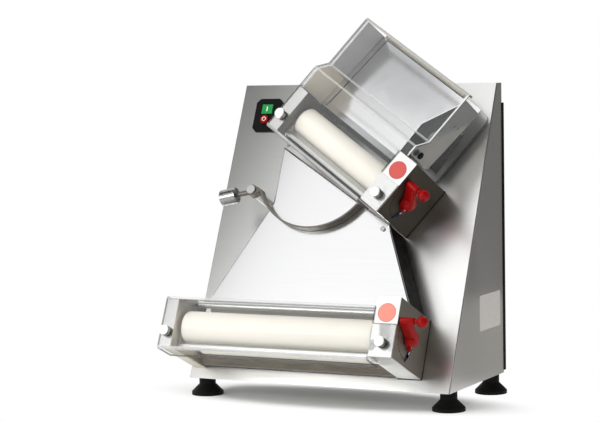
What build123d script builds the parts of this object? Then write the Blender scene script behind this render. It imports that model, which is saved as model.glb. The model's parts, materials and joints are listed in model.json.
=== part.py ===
from build123d import *
from math import acos, atan2, cos, degrees, hypot, pi, radians, sin, tan
import os

# A table-top dough sheeter: a wedge housing whose leaning panel carries two roller units, with a chute
# between them. Lengths are in millimetres and angles in degrees. The origin is under the middle of the
# machine, on the surface that it stands on.

# Housing of folded sheet. The front panel leans back from the bottom edge to the narrow top.
housing_width = 440
housing_height = 453
housing_depth = 222
top_depth = 17
sheet = 1.5
fold_radius = 2
rear_flange = 16
base_thickness = 3

# Rubber feet, which reach past the housing's sides. Each has a stud through the base plate.
foot_height = 30
foot_radius = 25
foot_rim = 5
foot_neck_radius = 13
foot_neck_height = 13
foot_stud_radius = 4
foot_stud_reach = 12
foot_side_inset = 14.5
foot_front_inset = 32
foot_rear_inset = 19

# Rear cover: a shallow tray screwed on behind, with vent slots and the cable gland.
cover_depth = 8
cover_wall = 2
cover_bottom = 4
cover_drop = 31
cover_side_inset = 2
vent_count = 7
vent_length = 110
vent_width = 6
vent_pitch = 16
vent_low = 60
gland_radius = 9
gland_bore = 4
gland_reach = 14
gland_x = -170
gland_height = 45

# Screws with round heads.
screw_radius = 2
screw_head_radius = 4
screw_head_height = 2.5
screw_length = 10
screw_inset = 9

# Roller units, drawn along the rollers (s), up the panel (t) and out of it (w).
box_width = 38
box_height = 92
box_wall = 1.5
box_fold = 2
support_width = 21
support_bottom = -48
support_top = 28
roller_axis = -7
rear_gear_gap = 0.7
rest_gap = 0.7
gap_travel = 3.5
roller_end_radius = 3
roller_end_gap = 5
shaft_core_radius = 10
journal_radius = 7

# Places of the two units: the middle of each gear box, across the panel and up from its bottom edge or
# down from its top edge, and the turn in its plane.
lower_box = (153.6, 64.6)
lower_turn = 0
lower_span = 329
lower_roller_radius = 25.5
upper_box_drop = (120.8, 208.4)
upper_turn = 34.5
upper_span = 194
upper_roller_radius = 22.5

# Fits.
press_clearance = 0.02
running_clearance = 0.05
slide_clearance = 0.1
near_gap = 0.4

# Bushes of the rear rollers.
bush_radius = 11
bush_flange_radius = 14
bush_flange = 3
end_bush = 3
shaft_end = 1

# Sliding carriage of the front roller: two end plates with square bosses, and a bar with a scraper edge.
plate_thickness = 4
plate_gap = 0.5
plate_end_radius = 14
boss_half = 10
boss_reach = 3
bar_offset = (-39, 9)
bar_width = 14
bar_height = 7
bar_edge = 2.3
scraper_thickness = 1.2
front_scraper_angle = -80
rear_scraper_angle = -100
rear_scraper_foot = (-44, 6)
scraper_rise = 11

# Gears with long teeth, which stay in mesh while the gap opens.
gear_teeth = 11
gear_width = 9
pressure_angle = 25
tooth_reach = 3.75
root_clearance = 0.4
backlash = 0.4
gear_gap = 1
flank_steps = 4

# Pulleys and belts.
pulley_radius = 18
pulley_width = 11
pulley_rim = 1.2
pulley_rim_reach = 5
belt_gap = 0.3
belt_thickness = 3.5
round_belt_radius = 3
belt_slot_width = 17
belt_slot_height = 74
belt_slot_rise = 2

# Setting lever on the gear box's outer side, with its cam inside.
lever_offset = (8.5, -16)
lever_range = 78
lever_shaft_radius = 6
cam_start = 16
cam_width = 5
cam_hub_radius = 9
cam_gap = 0.5
cam_dwell = 0.12
cam_steps = 10
lever_hub_radius = 11
lever_hub_length = 21
lever_thickness = 17
lever_edge = 2
grip_radius = 44.4
grip_angle = 8
grip_stub_radius = 5.5
grip_stub_length = 22
grip_neck_radius = 3.5
grip_neck_length = 3
ball_radius = 9
pointer_gap = 0.6
pointer_thickness = 1.5
pointer_angle = -95
pointer_reach = 44
pointer_tip_radius = 1.2
pointer_root_radius = 4
tail_reach = 26
tail_radius = 2.5
tail_thickness = 9

# Clear guards of bent sheet, held by a thumb knob at each end.
guard_thickness = 3
guard_bend = 1
guard_gap = 0.3
guard_lip = 12
guard_floor_gap = 1.5
guard_tab_top = 4.5
knob_height = -24.5
knob_radius = 8
knob_length = 9
knob_edge = 1
knob_stud_radius = 3
knob_stud_length = 12

# Hood: the upper guard goes on as a tall open-topped box with a step in its front.
hood_step_low = 65
hood_step_high = 84
hood_set_back = 22
hood_top = 175
hood_rim = 8
hood_right = 18
hood_left_back = 30
hood_right_back = 3
hood_corner = 10

# Feed tray inside the hood.
tray_left = 3.4
tray_top = (176, 34)
tray_knee = (40, 46)
tray_lip = (30, 51)
tray_wall_gap = 1.5
tray_wall_low = 29
tray_guide_gap = 10
tray_right_top = (13, 168)
tray_right_low = 52
tray_right_knee = (-21, 100)
tray_right_foot = (-19, 34)
tray_leg = (40, 96)
tray_bend = 2

# Chute between the units: its upper corners from the upper gear box, its lower ones from the lower gear
# box, and the tongue that leads into the lower nip.
chute_front = 60
chute_upper_corners = ((-13.8, -48.8), (-216.8, 77.2), (-216.8, -16.8))
chute_lower_corners = ((-329.6, 47.9), (9.4, 47.9))
chute_fold = 2.5
tongue_drop = 8
tongue_lap = 5
tongue_offset = (27.4, -5.2)
tongue_side_gap = 5
chute_screw_offset = (-22.8, -55.8)

# Balance arm on a post beside the chute, placed from the upper gear box.
arm_pivot_offset = (-250.8, -1.8)
arm_gap = 1.5
arm_width = 14
arm_hub_radius = 9
post_radius = 7
arm_pin_radius = 5
post_head_height = 3
strip_offset = (-144.8, 37.2)
strip_radius = 98
strip_thickness = 2.5
strip_start_angle = 203
strip_sweep_angle = 118.5
hook_radius = 8
hook_sweep_angle = 95
weight_angle = 193
weight_rod_radius = 4
weight_radius = 12.5
weight_length = 27
weight_reach = 28

# Switch with two buttons, placed down from the panel's top edge.
switch_drop = (-168, 54.2)
switch_size = (48, 58)
switch_plate = 3
switch_corner = 7
switch_block_size = (36, 48)
switch_block_depth = 26
start_place = (-1.5, 10)
start_size = (19, 16)
start_proud = 3
stop_place = (-2.5, -8.5)
stop_radius = 7
stop_proud = 6
button_depth = 10
button_travel = 3
button_gap = 0.4
button_edge = 1

# Drive: a motor with reduction gear low in the housing, and a jackshaft behind the upper unit.
drive_y = 140
drive_z = 72
motor_radius = 46
motor_length = 150
motor_cap_radius = 34
motor_cap_length = 16
motor_foot_width = 60
gear_case_x = 30
gear_case_length = 62
gear_case_depth = 84
gear_case_rise = 44
gear_case_edge = 6
drive_shaft_radius = 8
drive_shaft_depth = 30
jack_depth = 85
jack_shaft_radius = 6
jack_belt_x = 144
bracket_thickness = 4
bracket_gap = 9
bracket_eye_radius = 13
bracket_foot = 60
bracket_toe = 15
shaft_overhang = 4

# Sizes that follow from the others.
lean = atan2(housing_depth - top_depth, housing_height)
panel_length = hypot(housing_depth - top_depth, housing_height)
upper_box = (upper_box_drop[0], panel_length - upper_box_drop[1])
switch_centre = (switch_drop[0], panel_length - switch_drop[1])


def beside(box, offset):
    """A place on the panel, counted from a gear box's middle."""
    return (box[0] + offset[0], box[1] + offset[1])


chute_top_right, chute_top_left, chute_knee = [beside(upper_box, corner) for corner in chute_upper_corners]
chute_foot_left, chute_foot_right = [beside(lower_box, corner) for corner in chute_lower_corners]
chute_screw = beside(upper_box, chute_screw_offset)
arm_pivot = beside(upper_box, arm_pivot_offset)
strip_centre = beside(upper_box, strip_offset)
arm_low = chute_front + arm_gap
arm_high = arm_low + arm_width

widest_radius = max(lower_roller_radius, upper_roller_radius)
widest_tip = widest_radius + rest_gap / 2 + tooth_reach
front_axis = rear_gear_gap + widest_tip + 2 * widest_radius + rest_gap
unit_depth = front_axis + gap_travel + widest_tip + near_gap + box_wall
lever_axis = (lever_offset[0], front_axis + lever_offset[1])
bar_axis = (bar_offset[0], front_axis + bar_offset[1])
lower_nip = front_axis - lower_roller_radius - rest_gap / 2
tongue_end = (lower_box[1] + tongue_offset[0], lower_nip + tongue_offset[1])
guard_floor = unit_depth - arm_high - guard_floor_gap
hood_front = unit_depth - hood_set_back
tray_guide_front = hood_front - tray_guide_gap
guard_front = unit_depth + guard_thickness
knob_front = guard_front + knob_length
front_reach = knob_front * cos(lean) - (lower_box[1] + knob_height - knob_radius) * sin(lean)
rear_reach = housing_depth + cover_depth + gland_reach
front_edge = (front_reach - rear_reach) / 2

stand = Pos(0, front_edge, foot_height)
panel = stand * Plane(origin=(0, 0, 0), x_dir=(1, 0, 0), z_dir=(0, -cos(lean), sin(lean))).location

nodes = {}


def block(x_range, y_range, z_range):
    """A box between three pairs of limits."""
    ranges = (x_range, y_range, z_range)
    middles = [(low + high) / 2 for low, high in ranges]
    return Pos(*middles) * Box(*[high - low for low, high in ranges])


def bar_along_s(radius, s_range, t, w):
    """A round bar along the rollers."""
    low, high = s_range
    return Pos((low + high) / 2, t, w) * Rot(0, 90, 0) * Cylinder(radius, high - low)


def bar_along_w(radius, s, t, w_range):
    """A round bar along w, out of the panel or up from the base."""
    low, high = w_range
    return Pos(s, t, (low + high) / 2) * Cylinder(radius, high - low)


def across(face, s_range):
    """A face drawn in (w, t), made solid along the rollers."""
    low, high = s_range
    return extrude(Plane(origin=(high, 0, 0), x_dir=(0, 0, 1), z_dir=(-1, 0, 0)) * face, amount=high - low)


def outward(face, w_range):
    """A face drawn on the panel, made solid out of it."""
    low, high = w_range
    return extrude(Pos(0, 0, low) * face, amount=high - low)


def polar(radius, angle):
    """The point at a radius and an angle in radians."""
    return (radius * cos(angle), radius * sin(angle))


def outline(points):
    """The face inside a closed line."""
    return make_face(Polyline(*points, close=True))


def link(start, start_radius, end, end_radius):
    """The face round two circles and between them."""
    circles = Pos(*start) * Circle(start_radius) + Pos(*end) * Circle(end_radius)
    return make_hull(circles.edges())


def bent_sheet(points, thickness, bend):
    """The section of a folded sheet: its thickness lies to the left of the line through the points."""
    near = [Vector(*point) for point in points]
    ways = [(after - before).normalized() for before, after in zip(near, near[1:])]
    lefts = [Vector(-way.Y, way.X) for way in ways]
    far = [near[0] + lefts[0] * thickness]
    near_radii = []
    far_radii = []
    for point, way, next_way, left, next_left in zip(near[1:-1], ways, ways[1:], lefts, lefts[1:]):
        mitre = (left + next_left).normalized()
        far.append(point + mitre * (thickness / mitre.dot(left)))
        turns_left = way.cross(next_way).Z > 0
        near_radii.append(bend + thickness if turns_left else bend)
        far_radii.append(bend if turns_left else bend + thickness)
    far.append(near[-1] + lefts[-1] * thickness)
    near_line = FilletPolyline(*near, radius=near_radii)
    far_line = FilletPolyline(*far, radius=far_radii)
    return make_face(near_line + far_line + Line(near[0], far[0]) + Line(near[-1], far[-1]))


def ring_sector(centre, radius, thickness, start, sweep):
    """A curved strip's section about a centre."""
    inner = radius - thickness / 2
    outer = radius + thickness / 2
    ends = [radians(start), radians(start + sweep)]
    sides = [
        Line(Vector(*centre) + Vector(*polar(inner, end)), Vector(*centre) + Vector(*polar(outer, end)))
        for end in ends
    ]
    arcs = CenterArc(centre, inner, start, sweep) + CenterArc(centre, outer, start, sweep)
    return make_face(arcs + sides)


def gear_face(pitch_radius):
    """An involute gear with a tooth along +x. Its flanks are radial inside the base circle."""
    base = pitch_radius * cos(radians(pressure_angle))
    tip = pitch_radius + tooth_reach
    root = pitch_radius - tooth_reach - root_clearance

    def involute(radius):
        alpha = acos(base / radius)
        return tan(alpha) - alpha

    half_tooth = pi / (2 * gear_teeth) - backlash / (4 * pitch_radius) + involute(pitch_radius)
    radii = [base + (tip - base) * step / flank_steps for step in range(flank_steps + 1)]
    upper = [polar(radius, half_tooth - involute(radius)) for radius in radii]
    lower = [(x, -y) for x, y in upper]
    heel = polar(root - root_clearance, half_tooth)
    lower_heel = (heel[0], -heel[1])
    flanks = Spline(*upper) + Spline(*lower) + Line(heel, upper[0]) + Line(lower_heel, lower[0])
    tooth = make_face(flanks + ThreePointArc(upper[-1], (tip, 0), lower[-1]) + Line(heel, lower_heel))
    turns = [Rot(0, 0, 360 * index / gear_teeth) for index in range(gear_teeth)]
    return Circle(root) + [turn * tooth for turn in turns]


def cam_face():
    """A snail cam: its radius follows the front shaft's end as the lever turns and the carriage moves."""
    across_w = front_axis - lever_axis[1]
    across_t = roller_axis - lever_axis[0]
    rim = []
    for step in range(cam_steps + 1):
        share = step / cam_steps * (1 + 2 * cam_dwell) - cam_dwell
        moved = across_w + gap_travel * min(max(share, 0), 1)
        turn = atan2(across_t, moved) - radians(lever_range) * share
        rim.append(polar(hypot(moved, across_t) - journal_radius - cam_gap, turn))
    sector = make_face(Spline(*rim) + Line(rim[-1], (0, 0)) + Line((0, 0), rim[0]))
    return sector + Circle(cam_hub_radius)


def pulley(bore):
    """A flanged pulley about the x axis."""
    rim_place = (pulley_width - pulley_rim) / 2
    rim = Cylinder(pulley_radius + pulley_rim_reach, pulley_rim)
    wheel = Cylinder(pulley_radius, pulley_width) + Pos(0, 0, rim_place) * rim + Pos(0, 0, -rim_place) * rim
    return Rot(0, 90, 0) * (wheel - Cylinder(bore, pulley_width))


def flat_belt(x, start, end):
    """A belt in a plane across x, round two pulleys at (y, z)."""
    length = hypot(end[0] - start[0], end[1] - start[1])
    inner = pulley_radius + belt_gap
    band = SlotCenterToCenter(length, 2 * (inner + belt_thickness)) - SlotCenterToCenter(length, 2 * inner)
    middle = ((start[0] + end[0]) / 2, (start[1] + end[1]) / 2)
    tilt = degrees(atan2(end[1] - start[1], end[0] - start[0]))
    width = pulley_width - 2 * pulley_rim - 2 * belt_gap
    band = Plane.YZ * Pos(*middle) * Rot(0, 0, tilt) * band
    return Pos(x, 0, 0) * extrude(band, amount=width / 2, both=True)


def on_side(t, w):
    """The (y, z) place in the housing of a point at a height and a distance on the panel."""
    return (t * sin(lean) - w * cos(lean), t * cos(lean) + w * sin(lean))


# Places along the rollers inside a gear box, from its inner face.
gear_start = box_wall + bush_flange + gear_gap
pulley_end = box_width - box_wall - end_bush - plate_gap
pulley_middle = pulley_end - pulley_width / 2
boss_end = box_wall + boss_reach
lever_start = box_width + pointer_gap + pointer_thickness
belt_axis_shift = pulley_middle - box_width / 2


def roller_unit(name, place, span, roller_radius):
    """The pieces that both roller units have. Returns the bushes and the cut in the panel."""
    left = -span
    axle_distance = 2 * roller_radius + rest_gap
    rear_axis = front_axis - axle_distance
    half_height = box_height / 2
    support_left = left - support_width
    knob_places = {"left": left - support_width / 2, "right": box_width / 2}

    # Openings in the walls: the rear bush, the carriage's slot, the lever's shaft and the knobs' studs.
    slot_t = (roller_axis - boss_half - slide_clearance, roller_axis + boss_half + slide_clearance)
    slot_w = (front_axis - boss_half - near_gap, front_axis + gap_travel + boss_half + near_gap)

    def wall_cuts(s_range):
        bush_hole = bar_along_s(bush_radius + press_clearance, s_range, roller_axis, rear_axis)
        return bush_hole + block(s_range, slot_t, slot_w)

    def knob_hole(s):
        return bar_along_w(knob_stud_radius + near_gap, s, knob_height, (unit_depth - box_wall, unit_depth))

    box = block((0, box_width), (-half_height, half_height), (0, unit_depth))
    box = fillet(box.edges().filter_by(Axis.Z), box_fold)
    inside = (box_wall, box_width - box_wall)
    inside_t = (box_wall - half_height, half_height - box_wall)
    box -= block(inside, inside_t, (0, unit_depth - box_wall))
    box -= wall_cuts((0, box_wall)) + knob_hole(knob_places["right"])
    lever_hole = (box_width - box_wall, box_width)
    box -= bar_along_s(lever_shaft_radius + running_clearance, lever_hole, *lever_axis)
    nodes[f"{name}_gear_box"] = place * box

    support = block((support_left, left), (support_bottom, support_top), (0, unit_depth))
    support = fillet(support.edges().filter_by(Axis.Z), box_fold)
    inside = (support_left + box_wall, left - box_wall)
    inside_t = (support_bottom + box_wall, support_top - box_wall)
    support -= block(inside, inside_t, (0, unit_depth - box_wall))
    support -= wall_cuts((left - box_wall, left)) + knob_hole(knob_places["left"])
    nodes[f"{name}_left_support"] = place * support

    # Rear roller, driven, in fixed bushes.
    sleeve_range = (left + roller_end_gap, -roller_end_gap)

    def sleeve(axis):
        roller = bar_along_s(roller_radius, sleeve_range, roller_axis, axis)
        roller = fillet(roller.edges(), roller_end_radius)
        return roller - bar_along_s(shaft_core_radius + press_clearance, sleeve_range, roller_axis, axis)

    def shaft(axis, ends):
        core = bar_along_s(shaft_core_radius, sleeve_range, roller_axis, axis)
        return core + bar_along_s(journal_radius, ends, roller_axis, axis)

    def gear(axis):
        wheel = Pos(axis, roller_axis) * gear_face(axle_distance / 2)
        wheel -= Pos(axis, roller_axis) * Circle(journal_radius + press_clearance)
        return across(wheel, (gear_start, gear_start + gear_width))

    rear_ends = (left - box_wall - bush_flange - shaft_end, box_width - box_wall - plate_gap)
    nodes[f"{name}_rear_roller"] = place * sleeve(rear_axis)
    nodes[f"{name}_rear_shaft"] = place * shaft(rear_axis, rear_ends)
    nodes[f"{name}_rear_gear"] = place * gear(rear_axis)
    pulley_place = Pos(pulley_middle, roller_axis, rear_axis)
    nodes[f"{name}_rear_pulley"] = place * pulley_place * pulley(journal_radius + press_clearance)

    def ring(radius, s_range):
        bore = bar_along_s(journal_radius + running_clearance, s_range, roller_axis, rear_axis)
        return bar_along_s(radius, s_range, roller_axis, rear_axis) - bore

    left_flange = (left - box_wall - bush_flange, left - box_wall)
    right_flange = (box_wall, box_wall + bush_flange)
    outer_ring = (box_width - box_wall - end_bush, box_width - box_wall)
    bushes = [
        ring(bush_flange_radius, left_flange) + ring(bush_radius, (left - box_wall, left)),
        ring(bush_flange_radius, right_flange) + ring(bush_radius, (0, box_wall)),
        ring(bush_radius, outer_ring),
    ]

    rear_angle = radians(rear_scraper_angle)
    tip_w, tip_t = polar(roller_radius + near_gap, rear_angle)
    tip = (rear_axis + tip_w, roller_axis + tip_t)
    foot_t, foot_w = rear_scraper_foot
    rise = (tip[0] - scraper_rise, foot_t)
    scraper = bent_sheet([tip, rise, (foot_w, foot_t)], scraper_thickness, scraper_thickness)
    nodes[f"{name}_rear_scraper"] = place * across(scraper, (left, 0))

    # Front roller, on the carriage that opens the gap.
    front_ends = (left - boss_end - shaft_end, cam_start + cam_width + shaft_end)
    nodes[f"{name}_front_roller"] = place * sleeve(front_axis)
    nodes[f"{name}_front_shaft"] = place * shaft(front_axis, front_ends)
    nodes[f"{name}_front_gear"] = place * gear(front_axis)

    bar_t, bar_w = bar_axis
    plate = link((front_axis, roller_axis), plate_end_radius, (bar_w, bar_t), bar_width / 2)
    right_plate = (-plate_gap - plate_thickness, -plate_gap)
    left_plate = (left + plate_gap, left + plate_gap + plate_thickness)
    boss_t = (roller_axis - boss_half, roller_axis + boss_half)
    boss_w = (front_axis - boss_half, front_axis + boss_half)
    bar_face = Pos(bar_w, bar_t) * RectangleRounded(bar_width, bar_height, bar_edge)
    front_angle = radians(front_scraper_angle)
    edge_w, edge_t = polar(roller_radius + near_gap, front_angle)
    edge = (front_axis + edge_w, roller_axis + edge_t)
    thick = scraper_thickness
    blade = [edge, (edge[0] + thick, edge[1]), (bar_w + thick, bar_t), (bar_w, bar_t)]
    carriage = across(plate, right_plate) + across(plate, left_plate)
    carriage += block((right_plate[1], boss_end), boss_t, boss_w)
    carriage += block((left - boss_end, left_plate[0]), boss_t, boss_w)
    carriage += across(bar_face + outline(blade), (left_plate[1], right_plate[0]))
    for bore_range in ((left - boss_end, left_plate[1]), (right_plate[0], boss_end)):
        carriage -= bar_along_s(journal_radius + running_clearance, bore_range, roller_axis, front_axis)
    nodes[f"{name}_carriage"] = place * carriage

    # Setting lever, pointer and cam, which turn together.
    hub = Pos(lever_axis[1], lever_axis[0])
    grip = polar(grip_radius, radians(grip_angle))
    tail = polar(tail_reach, radians(pointer_angle))
    socket_end = lever_start + lever_hub_length - box_wall
    shaft_bar = bar_along_s(lever_shaft_radius, (cam_start, socket_end), *lever_axis)
    cam = across(hub * cam_face(), (cam_start, cam_start + cam_width))
    nodes[f"{name}_lever_cam"] = place * (cam + shaft_bar)

    arm_face = hub * link((0, 0), lever_hub_radius, grip, grip_stub_radius)
    arm = across(arm_face, (lever_start, lever_start + lever_thickness))
    arm = fillet(arm.faces().sort_by(Axis.X)[-1].edges(), lever_edge)
    tail_face = hub * link((0, 0), lever_hub_radius, tail, tail_radius)
    boss = bar_along_s(lever_hub_radius, (lever_start, lever_start + lever_hub_length), *lever_axis)
    boss = fillet(boss.faces().sort_by(Axis.X)[-1].edges(), lever_edge)
    grip_place = (lever_axis[0] + grip[1], lever_axis[1] + grip[0])
    stub_end = lever_start + grip_stub_length
    stub = bar_along_s(grip_stub_radius, (lever_start, stub_end), *grip_place)
    lever = arm + across(tail_face, (lever_start, lever_start + tail_thickness)) + boss + stub
    socket_range = (lever_start, socket_end + near_gap)
    lever -= bar_along_s(lever_shaft_radius + press_clearance, socket_range, *lever_axis)
    nodes[f"{name}_lever"] = place * lever
    ball_middle = stub_end + grip_neck_length + ball_radius
    neck = bar_along_s(grip_neck_radius, (stub_end, ball_middle), *grip_place)
    ball = Pos(ball_middle, *grip_place) * Sphere(ball_radius)
    nodes[f"{name}_lever_ball"] = place * (neck + ball)
    needle_tip = polar(pointer_reach - pointer_tip_radius, radians(pointer_angle))
    needle = Circle(cam_hub_radius) + link(tail, pointer_root_radius, needle_tip, pointer_tip_radius)
    needle += link((0, 0), pointer_root_radius, tail, pointer_root_radius)
    needle -= Circle(lever_shaft_radius + press_clearance)
    nodes[f"{name}_pointer"] = place * across(hub * needle, (box_width + pointer_gap, lever_start))

    # Thumb knobs that hold the guard.
    for side, s in knob_places.items():
        head = bar_along_w(knob_radius, s, knob_height, (guard_front, knob_front))
        head = chamfer(head.edges(), knob_edge)
        stud = bar_along_w(knob_stud_radius, s, knob_height, (unit_depth - knob_stud_length, guard_front))
        nodes[f"{name}_knob_{side}"] = place * (head + stud)

    slot_low = pulley_middle - belt_slot_width / 2
    slot_rise = (belt_slot_rise - belt_slot_height / 2, belt_slot_rise + belt_slot_height / 2)
    slot = block((slot_low, slot_low + belt_slot_width), slot_rise, (-sheet, 0))
    return [place * bush for bush in bushes], place * slot


def guard_front_sheet(path, span):
    """The bent front of a guard, with a tab over the gear box's front and holes for the knobs."""
    left = -span - support_width
    front = across(bent_sheet(path, guard_thickness, guard_bend), (left, -guard_gap))
    tab_range = (support_bottom + box_fold, guard_tab_top)
    front += block((-guard_gap, box_width), tab_range, (unit_depth, guard_front))
    for s in (left + support_width / 2, box_width / 2):
        front -= bar_along_w(knob_stud_radius + near_gap, s, knob_height, (unit_depth, guard_front))
    return front


def lower_guard():
    """A shallow clear cover with a lip above and a floor below."""
    roof = support_top + guard_bend
    floor = support_bottom - guard_bend
    path = [
        (unit_depth - guard_lip, roof),
        (unit_depth, roof),
        (unit_depth, floor),
        (unit_depth - guard_floor, floor),
    ]
    return guard_front_sheet(path, lower_span)


def upper_guard():
    """A clear hood: stepped front, side walls and an open top with a turned-in rim."""
    left = -upper_span - support_width
    floor = support_bottom - guard_bend
    profile = [
        (hood_front - hood_rim, hood_top),
        (hood_front, hood_top),
        (hood_front, hood_step_high),
        (unit_depth, hood_step_low),
        (unit_depth, floor),
        (unit_depth - guard_floor, floor),
    ]
    hood = guard_front_sheet(profile, upper_span)
    above_box = box_height / 2 + guard_gap
    beside = across(bent_sheet(profile, guard_thickness, guard_bend), (-guard_gap, hood_right))
    below = block((-guard_gap, hood_right), (floor - guard_thickness, above_box), (0, guard_front))
    hood += beside - below

    def side_wall(back, low):
        return outline([
            (back, low),
            (unit_depth + guard_thickness / 2, low),
            (unit_depth + guard_thickness / 2, hood_step_low),
            (hood_front + guard_thickness / 2, hood_step_high),
            (hood_front + guard_thickness / 2, hood_top),
            (back, hood_top),
        ])

    right_wall = side_wall(hood_right_back, above_box)
    right_wall = fillet(right_wall.vertices().sort_by(Axis.X)[:2].sort_by(Axis.Y)[-1], hood_corner)
    hood += across(right_wall, (hood_right - guard_thickness, hood_right))
    hood += across(side_wall(hood_left_back, support_top + guard_gap), (left, left + guard_thickness))
    return hood


def feed_tray():
    """A sloped plate with a lip towards the nip, side walls along the hood and a bent guide wall."""
    left = -upper_span - support_width + tray_left
    right, right_top = tray_right_top
    path = [(w, t) for t, w in (tray_top, tray_knee, tray_lip)]
    plate = across(bent_sheet(path, sheet, tray_bend), (left, right))
    plate -= block((tray_right_foot[0], right), (0, tray_right_low), (0, unit_depth))
    leg_low, leg_high = tray_leg
    top_t, top_w = tray_top
    knee_t, knee_w = tray_knee
    slope = (knee_w - top_w) / (top_t - knee_t)

    def plate_back(t):
        return top_w + slope * (top_t - t)

    leg = [(plate_back(leg_high), leg_high), (0, leg_high), (0, leg_low)]
    wall_front = unit_depth - tray_wall_gap
    high_front = hood_front - tray_wall_gap
    left_face = outline([
        *leg,
        (knee_w, leg_low),
        (tray_lip[1], tray_wall_low),
        (wall_front, tray_wall_low),
        (wall_front, hood_step_low),
        (high_front, hood_step_high),
        (high_front, hood_top - tray_wall_gap),
        (top_w, top_t),
    ])
    right_face = outline([
        (plate_back(tray_right_low), tray_right_low),
        (wall_front, tray_right_low),
        (wall_front, hood_step_low),
        (high_front, hood_step_high),
        (high_front, right_top),
        (plate_back(right_top), right_top),
    ])
    guide_face = outline([*leg, (tray_guide_front, leg_low), (tray_guide_front, top_t), (top_w, top_t)])
    guide_path = [tray_right_foot, tray_right_knee, (right + sheet, right_top)]
    guide = outward(bent_sheet(guide_path, sheet, tray_bend), (0, hood_front))
    guide &= across(guide_face, (left, right + sheet))
    return plate + across(left_face, (left, left + sheet)) + across(right_face, (right, right + sheet)) + guide


def chute():
    """A box of folded sheet open towards the panel, whose tongue leads into the lower nip."""
    corners = outline([chute_top_left, chute_knee, chute_foot_left, chute_foot_right, chute_top_right])
    shell = outward(corners, (0, chute_front))
    shell = fillet(shell.faces().sort_by(Axis.Z)[-1].edges(), chute_fold)
    shell -= outward(offset(corners, -sheet, kind=Kind.INTERSECTION), (-sheet, chute_front - sheet))
    end_v, end_w = tongue_end
    fold_v = chute_foot_left[1] - tongue_drop
    lap_v = chute_foot_left[1] + tongue_lap
    section = bent_sheet([(end_w, end_v), (chute_front, fold_v), (chute_front, lap_v)], sheet, chute_fold)
    tongue_range = (chute_foot_left[0] + chute_fold, lower_box[0] - box_width / 2 - tongue_side_gap)
    cut_w = (chute_front - chute_fold - sheet, chute_front)
    shell -= block(tongue_range, (chute_foot_left[1], lap_v), cut_w)
    return shell + across(section, tongue_range)


# Roller units and the pieces that only one of them has.
lower_place = panel * Pos(*lower_box, 0) * Rot(0, 0, -lower_turn) * Pos(-box_width / 2, 0, 0)
upper_place = panel * Pos(*upper_box, 0) * Rot(0, 0, -upper_turn) * Pos(-box_width / 2, 0, 0)
lower_bushes, lower_slot = roller_unit("lower", lower_place, lower_span, lower_roller_radius)
upper_bushes, upper_slot = roller_unit("upper", upper_place, upper_span, upper_roller_radius)
nodes["roller_bushes"] = Compound(lower_bushes + upper_bushes)
nodes["lower_guard"] = lower_place * lower_guard()
nodes["upper_guard"] = upper_place * upper_guard()
nodes["feed_tray"] = upper_place * feed_tray()
nodes["transfer_chute"] = panel * chute()

# Balance arm: post, arm with its curved strip, and counterweight.
post = bar_along_w(post_radius, *arm_pivot, (0, arm_low - near_gap))
post += bar_along_w(arm_pin_radius, *arm_pivot, (0, arm_high + near_gap))
post += bar_along_w(post_radius, *arm_pivot, (arm_high + near_gap, arm_high + near_gap + post_head_height))
nodes["arm_post"] = panel * post

strip_end = strip_start_angle + strip_sweep_angle
strip = ring_sector(strip_centre, strip_radius, strip_thickness, strip_start_angle, strip_sweep_angle)
hook = mirror(ring_sector((0, 0), hook_radius, strip_thickness, 0, hook_sweep_angle), about=Plane.YZ)
strip += Pos(*strip_centre) * Rot(0, 0, strip_end) * Pos(strip_radius + hook_radius, 0) * hook
strip_root = Vector(*strip_centre) + Vector(*polar(strip_radius, radians(strip_start_angle)))
strip += link(arm_pivot, arm_hub_radius, tuple(strip_root)[:2], strip_thickness / 2)
strip -= Pos(*arm_pivot) * Circle(arm_pin_radius + running_clearance)
arm = outward(strip, (arm_low, arm_high))
rod_frame = Pos(*arm_pivot, (arm_low + arm_high) / 2) * Rot(0, 0, weight_angle)
rod_reach = weight_reach + weight_length / 2
arm += rod_frame * bar_along_s(weight_rod_radius, (arm_hub_radius - strip_thickness, rod_reach), 0, 0)
nodes["balance_arm"] = panel * arm
weight = bar_along_s(weight_radius, (weight_reach, weight_reach + weight_length), 0, 0)
weight = chamfer(weight.edges(), knob_edge)
weight -= bar_along_s(weight_rod_radius + press_clearance, (weight_reach, rod_reach + near_gap), 0, 0)
nodes["counterweight"] = panel * rod_frame * weight

# Switch: a plate with its block behind the panel, and two buttons that press in.
plate_face = chamfer(Rectangle(*switch_size).vertices(), switch_corner)
switch = outward(plate_face, (0, switch_plate))
switch += outward(Rectangle(*switch_block_size), (-switch_block_depth, 0))
pocket_range = (-button_depth - button_travel - button_gap, switch_plate)
start_face = Rectangle(*start_size)
start_pocket = Rectangle(start_size[0] + 2 * button_gap, start_size[1] + 2 * button_gap)
switch -= Pos(*start_place) * outward(start_pocket, pocket_range)
switch -= Pos(*stop_place) * outward(Circle(stop_radius + button_gap), pocket_range)
start_button = outward(start_face, (-button_depth, switch_plate + start_proud))
start_button = fillet(start_button.faces().sort_by(Axis.Z)[-1].edges(), button_edge)
stop_button = outward(Circle(stop_radius), (-button_depth, switch_plate + stop_proud))
stop_button = fillet(stop_button.faces().sort_by(Axis.Z)[-1].edges(), button_edge)
switch_place = panel * Pos(*switch_centre, 0)
nodes["switch_plate"] = switch_place * switch
nodes["start_button"] = switch_place * Pos(*start_place) * start_button
nodes["stop_button"] = switch_place * Pos(*stop_place) * stop_button
switch_cut = Rectangle(switch_block_size[0] + near_gap, switch_block_size[1] + near_gap)
switch_hole = switch_place * outward(switch_cut, (-switch_block_depth, switch_plate))

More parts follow.
